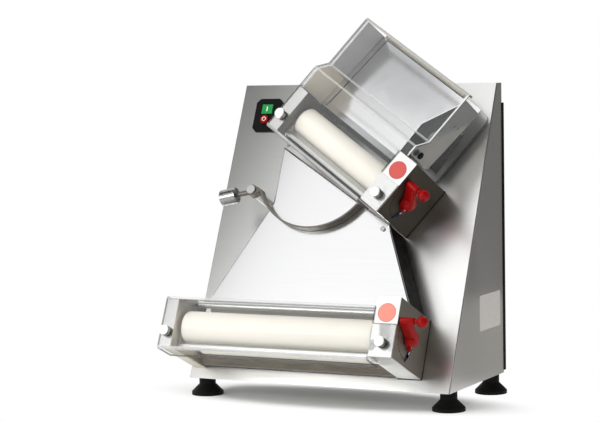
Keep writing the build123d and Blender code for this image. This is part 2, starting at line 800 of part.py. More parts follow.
# Housing shell: front panel, sides and top in one, open below and behind, with flanges for the cover.
half_width = housing_width / 2
slope = tan(lean)
inner_front = sheet / cos(lean)
outer_profile = [
    (0, 0),
    (housing_depth, 0),
    (housing_depth, housing_height),
    (housing_depth - top_depth, housing_height),
]
inner_top = housing_height - sheet
inner_profile = [
    (inner_front - slope * sheet, -sheet),
    (housing_depth + sheet, -sheet),
    (housing_depth + sheet, inner_top),
    (inner_front + slope * inner_top, inner_top),
]
shell = extrude(Plane.YZ * outline(outer_profile), amount=half_width, both=True)
front_edges = shell.faces().sort_by(Axis.Y)[0].edges().filter_by(Axis.X, reverse=True)
shell = fillet(front_edges, fold_radius)
shell -= extrude(Plane.YZ * outline(inner_profile), amount=half_width - sheet, both=True)
flange_profile = [
    (housing_depth - sheet, base_thickness),
    (housing_depth, base_thickness),
    (housing_depth, inner_top),
    (housing_depth - sheet, inner_top),
]
for side in (-1, 1):
    flange = extrude(Plane.YZ * outline(flange_profile), amount=rear_flange / 2, both=True)
    shell += Pos(side * (half_width - sheet - rear_flange / 2), 0, 0) * flange
shell = stand * shell - lower_slot - upper_slot - switch_hole
nodes["housing_shell"] = shell

# Base plate inside the shell's lower edge, and the feet under it.
base_profile = [
    (inner_front, 0),
    (housing_depth, 0),
    (housing_depth, base_thickness),
    (inner_front + slope * base_thickness, base_thickness),
]
base = extrude(Plane.YZ * outline(base_profile), amount=half_width - sheet, both=True)
foot_x = half_width - foot_side_inset
foot_ends = (foot_front_inset, housing_depth - foot_rear_inset)
foot_places = [(side * foot_x, y) for side in (-1, 1) for y in foot_ends]
foot_profile = outline([
    (0, -foot_height),
    (foot_radius, -foot_height),
    (foot_radius, foot_rim - foot_height),
    (foot_neck_radius, -foot_neck_height),
    (foot_neck_radius, 0),
    (foot_stud_radius, 0),
    (foot_stud_radius, foot_stud_reach),
    (0, foot_stud_reach),
])
foot = revolve(Plane.XZ * foot_profile, Axis.Z)
for place in foot_places:
    base -= bar_along_w(foot_stud_radius + near_gap, *place, (0, base_thickness))
nodes["base_plate"] = stand * base
nodes["rubber_feet"] = Compound([stand * Pos(*place, 0) * foot for place in foot_places])

# Rear cover with vents and gland, and the screws of the cover and the chute.
cover_half = half_width - cover_side_inset
cover_top = housing_height - cover_drop
cover_back = housing_depth + cover_depth
cover = block((-cover_half, cover_half), (housing_depth, cover_back), (cover_bottom, cover_top))
cover = fillet(cover.faces().sort_by(Axis.Y)[-1].edges(), fold_radius)
inner_half = cover_half - cover_wall
inner_rise = (cover_bottom + cover_wall, cover_top - cover_wall)
cover -= block((-inner_half, inner_half), (housing_depth, cover_back - cover_wall), inner_rise)
vent = Plane.XZ * SlotOverall(vent_length, vent_width)
for row in range(vent_count):
    cut = extrude(vent, amount=cover_depth, both=True)
    cover -= Pos(0, cover_back, cover_bottom + vent_low + row * vent_pitch) * cut
gland_place = Pos(gland_x, cover_back, gland_height) * Rot(-90, 0, 0)
gland = bar_along_w(gland_radius, 0, 0, (0, gland_reach)) - bar_along_w(gland_bore, 0, 0, (0, gland_reach))
cover -= gland_place * bar_along_w(gland_bore, 0, 0, (-cover_wall, 0))
screw = bar_along_w(screw_head_radius, 0, 0, (0, screw_head_height))
screw = fillet(screw.faces().sort_by(Axis.Z)[-1].edges(), screw_head_height / 2)
screw += bar_along_w(screw_radius, 0, 0, (-screw_length, 0))
screws = []
for x in (screw_inset - cover_half, cover_half - screw_inset):
    for z in (cover_bottom + screw_inset, (cover_bottom + cover_top) / 2, cover_top - screw_inset):
        seat = Pos(x, cover_back, z) * Rot(-90, 0, 0)
        hole = seat * bar_along_w(screw_radius + near_gap, 0, 0, (-screw_length, 0))
        boss = seat * bar_along_w(screw_head_radius, 0, 0, (-cover_depth, -cover_wall))
        cover = cover + boss - hole
        nodes["housing_shell"] -= stand * hole
        screws.append(stand * seat * screw)
chute_hole = bar_along_w(screw_radius + near_gap, *chute_screw, (0, chute_front + screw_length))
nodes["transfer_chute"] -= panel * chute_hole
screws.append(panel * Pos(*chute_screw, chute_front) * screw)
nodes["screws"] = Compound(screws)
nodes["rear_cover"] = stand * cover
nodes["cable_gland"] = stand * gland_place * gland

# Motor and reduction gear on the base plate, and the drive shaft with its two pulleys.
drive = (drive_y, drive_z)
drive_line = Pos(0, *drive)
gear_case_end = gear_case_x + gear_case_length
motor_end = gear_case_x - motor_length
motor = drive_line * bar_along_s(motor_radius, (motor_end, gear_case_x), 0, 0)
motor += drive_line * bar_along_s(motor_cap_radius, (motor_end - motor_cap_length, motor_end), 0, 0)
foot_range = (drive_y - motor_foot_width / 2, drive_y + motor_foot_width / 2)
motor += block((motor_end, gear_case_x), foot_range, (base_thickness, drive_z))
nodes["motor"] = stand * motor
case_range = (drive_y - gear_case_depth / 2, drive_y + gear_case_depth / 2)
case = block((gear_case_x, gear_case_end), case_range, (base_thickness, drive_z + gear_case_rise))
case = fillet(case.edges().filter_by(Axis.X), gear_case_edge)
bearing_range = (gear_case_end - drive_shaft_depth, gear_case_end)
case -= drive_line * bar_along_s(drive_shaft_radius + running_clearance, bearing_range, 0, 0)
nodes["gear_case"] = stand * case
lower_belt_x = lower_box[0] + belt_axis_shift
drive_ends = (bearing_range[0] + near_gap, lower_belt_x + pulley_width / 2 + shaft_overhang)
nodes["drive_shaft"] = stand * drive_line * bar_along_s(drive_shaft_radius, drive_ends, 0, 0)
drive_pulley = stand * drive_line * pulley(drive_shaft_radius + press_clearance)
nodes["drive_pulleys"] = Compound([Pos(x, 0, 0) * drive_pulley for x in (jack_belt_x, lower_belt_x)])

# Jackshaft straight behind the upper pulley, so that one belt can twist between them.
turn = radians(upper_turn)
jack_u = upper_box[0] + belt_axis_shift * cos(turn) + roller_axis * sin(turn)
jack_v = upper_box[1] - belt_axis_shift * sin(turn) + roller_axis * cos(turn)
jack = on_side(jack_v, -jack_depth)
jack_line = Pos(0, *jack)
bracket_left = jack_u - pulley_width / 2 - bracket_gap - bracket_thickness
bracket_right = jack_belt_x + pulley_width / 2 + bracket_gap
jack_ends = (bracket_left - shaft_overhang, bracket_right + bracket_thickness + shaft_overhang)
nodes["jackshaft"] = stand * jack_line * bar_along_s(jack_shaft_radius, jack_ends, 0, 0)
jack_pulley = stand * jack_line * pulley(jack_shaft_radius + press_clearance)
nodes["jackshaft_pulleys"] = Compound([Pos(x, 0, 0) * jack_pulley for x in (jack_u, jack_belt_x)])
eye = Pos(-jack_depth, jack_v)
foot_face = Pos(-sheet - bracket_thickness / 2, jack_v) * Rectangle(bracket_thickness, bracket_foot)
bracket_face = make_hull((eye * Circle(bracket_eye_radius) + foot_face).edges())
bracket_face -= eye * Circle(jack_shaft_radius + running_clearance)
brackets = []
for low, toe in ((bracket_left, -1), (bracket_right, 1)):
    middle = low + bracket_thickness / 2
    toe_range = sorted((middle, middle + toe * bracket_toe))
    bracket = across(bracket_face, (low, low + bracket_thickness)) + across(foot_face, toe_range)
    brackets.append(panel * bracket)
nodes["jackshaft_brackets"] = Compound(brackets)

# Belts: two flat ones, and a round one that twists between the jackshaft and the upper unit.
lower_rear_axis = front_axis - 2 * lower_roller_radius - rest_gap
upper_rear_axis = front_axis - 2 * upper_roller_radius - rest_gap
lower_roller = on_side(lower_box[1] + roller_axis, lower_rear_axis)
ring_radius = pulley_radius + belt_gap + round_belt_radius


def half_ring(side):
    """Half of the round belt, over its pulley on the outer or the inner side."""
    path = ThreePointArc((0, -ring_radius, 0), (0, 0, side * ring_radius), (0, ring_radius, 0))
    return sweep(Plane(path @ 0, z_dir=path % 0) * Circle(round_belt_radius), path)


def belt_run(start, end):
    """A straight stretch of the round belt with rounded ends."""
    path = Line(start, end)
    run = sweep(Plane(path @ 0, z_dir=path % 0) * Circle(round_belt_radius), path)
    return run + Pos(*start) * Sphere(round_belt_radius) + Pos(*end) * Sphere(round_belt_radius)


belt_drop = upper_rear_axis + jack_depth
round_belt = half_ring(1) + Pos(0, 0, -belt_drop) * Rot(0, 0, upper_turn) * half_ring(-1)
for side in (-1, 1):
    far_end = (-side * ring_radius * sin(turn), side * ring_radius * cos(turn), -belt_drop)
    round_belt += belt_run((0, side * ring_radius, 0), far_end)
upper_belt = upper_place * Pos(pulley_middle, roller_axis, upper_rear_axis) * round_belt
lower_belt = stand * flat_belt(lower_belt_x, lower_roller, drive)
jack_belt = stand * flat_belt(jack_belt_x, drive, jack)
nodes["belts"] = Compound([lower_belt, jack_belt, upper_belt])

os.makedirs("parts", exist_ok=True)
for node, shape in nodes.items():
    export_step(shape, f"parts/{node}.step")
print(len(nodes), "pieces")
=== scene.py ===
import json
import math
import bmesh
import bpy
import numpy as np
from mathutils import Matrix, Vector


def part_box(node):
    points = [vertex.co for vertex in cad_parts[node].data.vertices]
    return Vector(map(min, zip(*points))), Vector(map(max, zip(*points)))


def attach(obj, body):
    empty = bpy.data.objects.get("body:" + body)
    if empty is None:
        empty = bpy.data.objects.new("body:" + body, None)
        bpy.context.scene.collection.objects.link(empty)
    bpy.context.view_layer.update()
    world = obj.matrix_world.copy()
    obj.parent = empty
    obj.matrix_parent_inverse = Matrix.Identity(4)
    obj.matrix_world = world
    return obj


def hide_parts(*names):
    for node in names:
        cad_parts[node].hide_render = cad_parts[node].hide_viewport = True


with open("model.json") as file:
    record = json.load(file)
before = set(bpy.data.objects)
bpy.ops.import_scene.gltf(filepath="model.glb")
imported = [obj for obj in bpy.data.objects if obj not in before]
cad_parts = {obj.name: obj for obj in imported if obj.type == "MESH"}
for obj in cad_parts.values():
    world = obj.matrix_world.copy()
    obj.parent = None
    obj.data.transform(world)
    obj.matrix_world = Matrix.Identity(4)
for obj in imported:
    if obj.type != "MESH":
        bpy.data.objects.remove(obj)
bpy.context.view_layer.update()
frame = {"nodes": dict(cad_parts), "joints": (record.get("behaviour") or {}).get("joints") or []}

scene = bpy.context.scene
nodes = frame["nodes"]
joints = {joint["name"]: joint for joint in frame["joints"]}
mm = 0.001
print("frame loaded:", len(nodes), "nodes")


# One hex colour, as painted on screen, to the linear values that shaders take: the sRGB curve undone.
def linear(hexColour):
    parts = [int(hexColour[place:place + 2], 16) / 255 for place in (1, 3, 5)]
    return [part / 12.92 if part <= 0.04045 else ((part + 0.055) / 1.055) ** 2.4 for part in parts] + [1]


# Adds a node: settings are its own options, values its unlinked sockets, links what feeds the others.
def addNode(tree, kind, values=None, links=None, **settings):
    made = tree.nodes.new(kind)
    for name, value in settings.items():
        setattr(made, name, value)
    for name, value in (values or {}).items():
        made.inputs[name].default_value = value
    for name, socket in (links or {}).items():
        tree.links.new(socket, made.inputs[name])
    return made


# A material whose node tree is still empty.
def emptyMaterial(name):
    material = bpy.data.materials.new(name)
    material.use_nodes = True
    material.node_tree.nodes.clear()
    return material, material.node_tree


# Most of a noise's values lie in this span, which is stretched to the full effect.
noiseSpan = {"From Min": 0.3, "From Max": 0.7}
bumpStrength = 0.5


# A material with noise on Object coordinates. The grain is the noise's size in millimetres, even or along x,
# y and z. The noise spreads the roughness between two limits, mixes two colours if there are two, and raises
# a bump in millimetres. Even values stand on the shader's own sockets. A tangent's axis draws the sheen out.
def grained(name, colours, grain, roughness, detail=2, bump=0, tangent=None, **values):
    material, tree = emptyMaterial(name)
    even = {key.replace("_", " "): value for key, value in values.items()}
    shader = addNode(tree, "ShaderNodeBsdfPrincipled", {"Base Color": linear(colours[0])} | even)
    addNode(tree, "ShaderNodeOutputMaterial", links={"Surface": shader.outputs[0]})
    place = addNode(tree, "ShaderNodeTexCoord")
    frequency = (1 / (np.broadcast_to(grain, 3) * mm)).tolist()
    mapped = addNode(tree, "ShaderNodeMapping", {"Scale": frequency}, {"Vector": place.outputs["Object"]})
    texture = addNode(tree, "ShaderNodeTexNoise", {"Scale": 1, "Detail": detail},
                      {"Vector": mapped.outputs[0]})
    noise = texture.outputs["Fac"]
    limits = {"To Min": roughness[0], "To Max": roughness[1]}
    spread = addNode(tree, "ShaderNodeMapRange", noiseSpan | limits, {"Value": noise})
    tree.links.new(spread.outputs[0], shader.inputs["Roughness"])
    if len(colours) > 1:
        share = addNode(tree, "ShaderNodeMapRange", noiseSpan, {"Value": noise})
        mixed = addNode(tree, "ShaderNodeMix", {6: linear(colours[0]), 7: linear(colours[1])},
                        {0: share.outputs[0]}, data_type="RGBA")
        tree.links.new(mixed.outputs[2], shader.inputs["Base Color"])
    if bump:
        height = addNode(tree, "ShaderNodeBump", {"Strength": bumpStrength, "Distance": bump * mm},
                         {"Height": noise})
        tree.links.new(height.outputs[0], shader.inputs["Normal"])
    if tangent:
        drawn = addNode(tree, "ShaderNodeTangent", direction_type="RADIAL", axis=tangent)
        tree.links.new(drawn.outputs[0], shader.inputs["Tangent"])
    return material


# Belt-brushed stainless sheet: fine level streaks, drawn coarser than the real grit so that they show.
# Reflections smear along the tangent round x, which runs up and down the sheet.
def brushedStainless(name, colours, roughness):
    return grained(name, colours, (90, 90, 0.9), roughness, 3, tangent="X", Metallic=1, Anisotropic=0.5)


# Stainless sheet tinted with painted shade and painted reflection: brown-grey to tan, with soft blotches.
def shadeTintedStainless(name, colours):
    return grained(name, colours, (30, 30, 6), (0.42, 0.52), 3, Metallic=1)


# Matt sheet coloured with a painted reflection: its colour stands for what a stainless wall mirrors, and
# stays the same from every side.
def paintedReflectionSheet(name, colours):
    return grained(name, colours, 20, (0.45, 0.55), Metallic=0.25)


# Bends and cut edges of polycarbonate sheet: they gather light, so they are seen as pale and grey lines,
# drawn as painted highlights and painted dark lines.
def sheetLine(name, hexColour, alpha):
    return grained(name, (hexColour,), 8, (0.15, 0.28), IOR=1.58, Alpha=alpha)


# Moulded glossy ABS: deep even colour under a hard shine, slightly wavy where the tool was polished.
def glossyPlastic(name, colours, roughness=(0.16, 0.26), gloss=0.5):
    return grained(name, colours, 4, roughness, bump=0.01, IOR=1.53, Specular_IOR_Level=gloss)


finishes = {
    "brushed_stainless": brushedStainless("brushed_stainless_sheet", ("#dadad8", "#dededc"), (0.285, 0.3)),
    # Mill-finished stainless sheet: pale, with softly blurred reflections and broad faint clouds.
    "polished_stainless": grained("mill_stainless_sheet", ("#cbcbc9", "#d3d3d1"), 30, (0.27, 0.34), 3,
                                  Metallic=1),
    # Polished aluminium strip: bright, with a fine grain.
    "bright_aluminium": grained("polished_aluminium", ("#989896", "#a4a4a2"), 1.2, (0.16, 0.26), 3,
                                Metallic=1),
    # Steel turned and nickel-plated: hard bright reflections.
    "plated_steel": grained("nickel_plated_steel", ("#a4a4a0", "#b0b0ac"), 2, (0.12, 0.22), 3, Metallic=1),
    # Ground steel shaft: grey, with fine rings left by the wheel.
    "shaft_steel": grained("ground_steel", ("#9c9c9a", "#b2b2b0"), (0.8, 6, 6), (0.22, 0.36), Metallic=1),
    # Acetal sleeve, turned and polished: cream, dense and slightly waxy, with broad faint clouds.
    "cream_acetal": grained("cream_acetal", ("#f2ecdf", "#f5f0e5"), 25, (0.3, 0.42), IOR=1.48),
    # Milled acetal gear: off-white and matt.
    "gear_acetal": grained("milled_acetal", ("#d2d0c6", "#dedcd2"), 3, (0.42, 0.58), 3, IOR=1.48),
    # Polycarbonate sheet: nearly clear, its faces seen only by their gloss. The alpha keeps light on what is
    # behind, so the index is raised to keep the real sheet's reflections.
    "clear_polycarbonate": grained("clear_polycarbonate", ("#d0d4d4",), 25, (0.03, 0.06), IOR=2.6,
                                   Alpha=0.06),
    "red_plastic": glossyPlastic("red_abs", ("#8c0303", "#960505"), gloss=0.15),
    "green_plastic": glossyPlastic("green_abs", ("#0c8a3c", "#129444")),
    "blue_pointer": glossyPlastic("blue_abs", ("#0e1040", "#14164a")),
    # Moulded black plastic with a fine spark-eroded texture, drawn coarser so that it shows.
    "black_plastic": grained("black_moulded_plastic", ("#080808", "#0f0f0f"), 0.8, (0.42, 0.58), bump=0.03,
                             Specular_IOR_Level=0.15),
    # Moulded natural rubber: black and dull, with a dusty bloom.
    "black_rubber": grained("black_rubber", ("#060605", "#0d0d0c"), 5, (0.5, 0.72), 4, 0.02,
                            Specular_IOR_Level=0.15),
    # Sintered bronze bush: brown-gold with fine dark pores.
    "bronze": grained("sintered_bronze", ("#98753c", "#bd9858"), 0.6, (0.32, 0.5), bump=0.02, Metallic=1),
    # Die-cast aluminium: grey, with a soft sandy skin.
    "cast_aluminium": grained("cast_aluminium", ("#a4a6a8", "#bcbec0"), 1, (0.4, 0.55), 3, 0.03, Metallic=1),
    # Motor enamel: dark blue-grey paint over a casting, with a little orange peel.
    "painted_motor": grained("motor_enamel", ("#383d44", "#42474e"), 2.5, (0.3, 0.42), bump=0.03, IOR=1.5),
}
# Fine-ground stainless sheet: paler than the brushed sheet, with soft reflections.
satinSheet = grained("satin_stainless_sheet", ("#d6d6d4", "#dadad8"), 25, (0.22, 0.26), 3, Metallic=1)
# Blued spring steel: almost black, with a dull sheen. The same sheet is painted shade on the chute's right
# side and along the tray's guide.
bluedSteelAndShade = grained("blued_steel_and_shade", ("#161618", "#1d1d1f"), 12, (0.35, 0.48), 3, Metallic=1)
# Printed white ink: even and soft. It also draws the painted highlight along each pointer.
whiteInkAndGlint = glossyPlastic("white_ink_and_glint", ("#f2f2f0", "#f6f6f4"), (0.4, 0.5))
# Nodes whose finish differs from the rest of their slot.
ownFinish = {
    # Bright-annealed stainless sheet: close to a mirror, with broad faint clouds from the rolls.
    "feed_tray": grained("annealed_stainless_sheet", ("#d2d2d3", "#d8d8d9"), 40, (0.16, 0.19), 3, Metallic=1),
    "transfer_chute": brushedStainless("ground_stainless_sheet", ("#cccccd", "#d0d0d1"), (0.17, 0.19)),
    "lower_gear_box": satinSheet,
    "upper_gear_box": satinSheet,
    "upper_rear_scraper": bluedSteelAndShade,
    # Left supports: the lower one's tan is a painted reflection of the cream roller, the upper one's
    # brown-grey is painted shade.
    "lower_left_support": shadeTintedStainless("tan_stainless_sheet", ("#d2ccc0", "#dad4c8")),
    "upper_left_support": shadeTintedStainless("brown_stainless_sheet", ("#6a645a", "#746e64")),
    # Balance arm: dark as painted shade of its lower face; its hub is dark metal as well.
    "balance_arm": shadeTintedStainless("rolled_steel_strip", ("#77736b", "#827e76")),
    "counterweight": finishes["shaft_steel"],
    # Lower rear scraper: brown-grey painted shade under the lower unit.
    "lower_rear_scraper": shadeTintedStainless("shaded_stainless_sheet", ("#6a645a", "#7e786d")),
}
for nodeName, node in nodes.items():
    for place in node.material_slots:
        place.material = ownFinish.get(nodeName) or finishes[place.material.name]
print("finishes given:", len({*finishes.values(), *ownFinish.values()}))


# A roller unit's own frame, from its joints: s along the rollers, t up the panel and w out of it, in
# millimetres from the panel and the gear box's inner face.
unit = {"frontAxis": 82, "rollerHeight": -7, "depth": 117, "boxWidth": 38, "boxHeight": 92,
        "supportWidth": 21, "supportBottom": -48, "supportTop": 28, "span": {"lower": 329, "upper": 194}}


# Moves surfaces from a unit's own frame to the machine's, in metres.
def inUnit(name, surfaces):
    along = np.array(joints[f"{name}_rear_spin"]["axis"])
    outward = np.array(joints[f"{name}_gap_slide"]["axis"])
    upward = np.cross(outward, along)
    axle = np.array(joints[f"{name}_front_spin"]["pos_m"])
    origin = axle - mm * (unit["rollerHeight"] * upward + unit["frontAxis"] * outward)
    ways = np.array([along, upward, outward])
    return [(origin + mm * np.asarray(points, float) @ ways, patches) for points, patches in surfaces]


# Points closer than the weld become one, and edges that turn by more degrees than the crease stay sharp.
weld = mm / 1000
crease = 35


# Joins surfaces into one piece. Each surface is an array of points, and pairs of faces with their finish.
def makePiece(name, surfaces, body, stands=()):
    points, faces, numbers, used = [], [], [], []
    for surfacePoints, patches in surfaces:
        start = len(points)
        points += np.reshape(surfacePoints, (-1, 3)).tolist()
        for patch, finish in patches:
            if finish not in used:
                used.append(finish)
            faces += (np.asarray(patch) + start).tolist()
            numbers += [used.index(finish)] * len(patch)
    mesh = bpy.data.meshes.new(name)
    mesh.from_pydata(points, [], faces)
    for finish in used:
        mesh.materials.append(finish)
    mesh.polygons.foreach_set("material_index", numbers)
    form = bmesh.new()
    form.from_mesh(mesh)
    bmesh.ops.remove_doubles(form, verts=form.verts, dist=weld)
    bmesh.ops.recalc_face_normals(form, faces=form.faces)
    form.to_mesh(mesh)
    form.free()
    mesh.shade_smooth()
    mesh.set_sharp_from_angle(angle=math.radians(crease))
    piece = bpy.data.objects.new(name, mesh)
    scene.collection.objects.link(piece)
    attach(piece, body)
    if stands:
        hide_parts(*stands)


# Quads between neighbours of a grid, wrapped round the columns where they close.
def gridFaces(rows, columns, closed=False):
    row, column = np.meshgrid(np.arange(rows - 1), np.arange(columns - (not closed)), indexing="ij")
    after = (column + 1) % columns
    here, there = row * columns, (row + 1) * columns
    corners = (here + column, there + column, there + after, here + after)
    return np.stack([corner.ravel() for corner in corners], axis=1)


# A form from rows of closed outlines: quads between the rows, and the first and last rows as its ends.
def closedForm(rows, finish, ends=None):
    count = rows.shape[1]
    caps = np.arange(count) + np.array([[0], [(len(rows) - 1) * count]])
    return rows.reshape(-1, 3), [(gridFaces(len(rows), count, closed=True), finish), (caps, ends or finish)]


# A turned form: each profile point (radius, height) goes round the axis, which is s, t or w through the
# centre. Bands from faceFrom on take the face's finish. Where knurl is above nought, a cosine of so many
# waves deepens it.
def turned(profile, finish, centre, axis, sides=64, face=None, faceFrom=None, knurl=0, waves=0, depth=0):
    radius, height = np.array(profile, float).T[:, :, None]
    angle = np.linspace(0, 2 * math.pi, sides, endpoint=False)
    cut = np.broadcast_to(knurl, len(profile))[:, None]
    reach = radius - depth * cut * (1 + np.cos(waves * angle)) / 2
    across, up, out = reach * np.cos(angle), reach * np.sin(angle), height + 0 * angle
    columns = {"w": (across, up, out), "s": (out, across, up), "t": (across, out, up)}[axis]
    faces = gridFaces(len(profile), sides, closed=True)
    split = len(faces) if faceFrom is None else faceFrom * sides
    patches = [(faces[:split], finish), (faces[split:], face)]
    return np.stack(columns, axis=-1) + np.array(centre), [patch for patch in patches if len(patch[0])]


# Two round ends with straight sides between, carried along s: the hull of two circles in t and w, whose radii
# lose an inset at each station. The sides touch where the radii's difference over the distance is a cosine.
def linkPlate(ends, radii, stations, insets, finish, sides=24):
    ends = np.array(ends, float)
    stepT, stepW = ends[1] - ends[0]
    heading = math.atan2(stepW, stepT)
    lean = math.acos((radii[0] - radii[1]) / math.hypot(stepT, stepW))
    angle = np.concatenate([np.linspace(heading + lean, heading + 2 * math.pi - lean, sides),
                            np.linspace(heading - lean, heading + lean, sides)])
    centre = np.repeat(ends, sides, axis=0)
    reach = np.repeat(radii, sides) - np.array(insets, float)[:, None]
    s = np.broadcast_to(np.array(stations, float)[:, None], reach.shape)
    rows = np.stack([s, centre[:, 0] + reach * np.cos(angle), centre[:, 1] + reach * np.sin(angle)], axis=-1)
    return closedForm(rows, finish)


# A direction that no bar's path runs along.
offAxis = (0.36, 0.48, 0.8)


# A round bar along a path: circles square to the path at its ends, and to the halved turn at its corners.
def roundBar(path, radius, finish, sides=12):
    path = np.array(path, float)
    ways = np.diff(path, axis=0)
    ways /= np.linalg.norm(ways, axis=1, keepdims=True)
    along = np.concatenate([ways[:1], ways[:-1] + ways[1:], ways[-1:]])
    along /= np.linalg.norm(along, axis=1, keepdims=True)
    across = np.cross(along, offAxis)
    across /= np.linalg.norm(across, axis=1, keepdims=True)
    up = np.cross(along, across)
    angle = np.linspace(0, 2 * math.pi, sides, endpoint=False)[:, None]
    rows = path[:, None] + radius * (np.cos(angle) * across[:, None] + np.sin(angle) * up[:, None])
    return closedForm(rows, finish)


# The four corners of a rectangle between two pairs of limits.
def rectangle(across, up):
    return [(across[0], up[0]), (across[1], up[0]), (across[1], up[1]), (across[0], up[1])]


# A flat plate: an outline carried through its thickness. The order says which of s, t and w the outline's two
# directions and the depth are.
def flatPlate(outline, depths, order, face, edge=None):
    outline = np.array(outline, float)
    depth = np.repeat(np.array(depths, float)[:, None], len(outline), axis=1)
    columns = (np.tile(outline[:, 0], (2, 1)), np.tile(outline[:, 1], (2, 1)), depth)
    return closedForm(np.stack([columns[order.index(axis)] for axis in "stw"], axis=-1), edge or face, face)


# Turns under this angle in radians count as straight.
straight = 1e-6


# The inner line of a folded sheet and its outward normals: straight runs, with an arc about the bend's centre
# at each corner. A corner in line with its neighbours stays one point.
def foldedPath(corners, sheet):
    corners = np.array(corners, float)
    ways = np.diff(corners, axis=0)
    headings = np.unwrap(np.arctan2(ways[:, 1], ways[:, 0]))
    line = [corners[:1]]
    angles = [headings[:1]]
    for corner, before, after in zip(corners[1:-1], headings, headings[1:]):
        turning = after - before
        hand = np.sign(turning) if abs(turning) > straight else 0
        radius = sheet["bend"] + (sheet["thickness"] if hand > 0 else 0)
        turn = np.linspace(before, after, sheet["bendSteps"] if hand else 1)
        left = np.stack([-np.sin(turn), np.cos(turn)], axis=1)
        back = radius * math.tan(abs(turning) / 2) * np.array((math.cos(before), math.sin(before)))
        line.append(corner - back * abs(hand) + hand * radius * (left[:1] - left))
        angles.append(turn)
    line.append(corners[-1:])
    angles = np.concatenate(angles + [headings[-1:]])
    bends = np.abs(np.diff(angles)) > straight
    return np.concatenate(line), np.stack([-np.sin(angles), np.cos(angles)], axis=1), bends


# A folded sheet as a grid of cells, path by stations along s, of which some are cut away. Its two faces are
# the path and the path moved out by the thickness, and a quad closes each side without a neighbour.
def foldedSheet(corners, sheet, stations, kept, finish):
    line, outward, bends = foldedPath(corners, sheet)
    count = len(line)
    stations = np.array(stations, float)
    inner = np.stack(np.broadcast_arrays(stations[:, None], line[:, 1], line[:, 0]), axis=-1)
    step = np.stack([0 * outward[:, 0], outward[:, 1], outward[:, 0]], axis=1) * sheet["thickness"]
    points = np.concatenate([inner.reshape(-1, 3), (inner + step).reshape(-1, 3)])
    middleS = (stations[1:] + stations[:-1])[:, None] / 2
    middle = (line[1:] + line[:-1]) / 2
    present = kept(middleS, middle[:, 1][None], middle[:, 0][None])
    cells = gridFaces(len(stations), count).reshape(len(stations) - 1, count - 1, 4)
    bent = np.broadcast_to(bends, present.shape)
    rim = np.broadcast_to(np.arange(count - 1) == 0, present.shape)
    outer = len(stations) * count
    patches = []
    for mask, look in ((present & ~bent & ~rim, "face"), (present & bent, "bend"), (present & rim, "rim")):
        patches.append((np.concatenate([cells[mask], cells[mask] + outer]), finish[look]))
    padded = np.pad(present, 1)
    neighbours = (padded[1:-1, :-2], padded[2:, 1:-1], padded[1:-1, 2:], padded[:-2, 1:-1])
    for first, neighbour in enumerate(neighbours):
        edge = cells[present & ~neighbour][:, (first, (first + 1) % 4)]
        patches.append((np.concatenate([edge, edge[:, ::-1] + outer], axis=1), finish["edge"]))
    used = np.unique(np.concatenate([patch.ravel() for patch, look in patches]))
    place = np.zeros(len(points), int)
    place[used] = np.arange(len(used))
    return points[used], [(place[patch], look) for patch, look in patches if len(patch)]


# Clear guards: each a sheet folded along corners in w and t, and carried along s. The upper one is a stepped
# hood with two side walls.
guard = {"thickness": 3, "bend": 1.5, "bendSteps": 7, "gap": 0.3, "lip": 12, "floor": 40, "tabTop": 4.5,
         "tabBottom": -46, "foldOut": 1}
hood = {"rim": 8, "stepLow": 65, "stepHigh": 84, "setBack": 22, "top": 175, "right": 18, "leftBack": 30,
        "rightBack": 3, "corner": 10, "cornerSteps": 6}
# The guards' cells: a painted highlight on each bend, painted dark lines on the cut edges, and a painted
# beige reflection on the hood's top rim.
guardFinish = {"face": finishes["clear_polycarbonate"],
               "bend": sheetLine("polycarbonate_bend_highlight", "#dcdcda", 0.45),
               "edge": sheetLine("polycarbonate_edge_shade", "#4a4844", 0.72),
               "rim": sheetLine("polycarbonate_rim_reflection", "#b8b09c", 0.75)}


# Cells of a guard's front: the sheet beside the gear box, the tab on the box, and a hood's part above it.
def guardCells(s, t, w, aboveBox=math.inf):
    beside = s < -guard["gap"]
    tab = (t > guard["tabBottom"]) & (t < guard["tabTop"]) & (w > unit["depth"] - guard["thickness"])
    return beside | (tab & (s < unit["boxWidth"])) | ((s < hood["right"]) & (t > aboveBox))


def lowerGuard():
    left = -unit["span"]["lower"] - unit["supportWidth"]
    roof = unit["supportTop"] + guard["foldOut"]
    floor = unit["supportBottom"] - guard["foldOut"]
    front = unit["depth"]
    corners = [(front - guard["lip"], roof), (front, roof), (front, guard["tabTop"]),
               (front, guard["tabBottom"]), (front, floor), (front - guard["floor"], floor)]
    stations = (left, -guard["gap"], unit["boxWidth"])
    finish = guardFinish | {"rim": guardFinish["face"]}
    sheet = foldedSheet(corners, guard, stations, guardCells, finish)
    makePiece("lowerGuardSheet", inUnit("lower", [sheet]), "housing", ["lower_guard"])


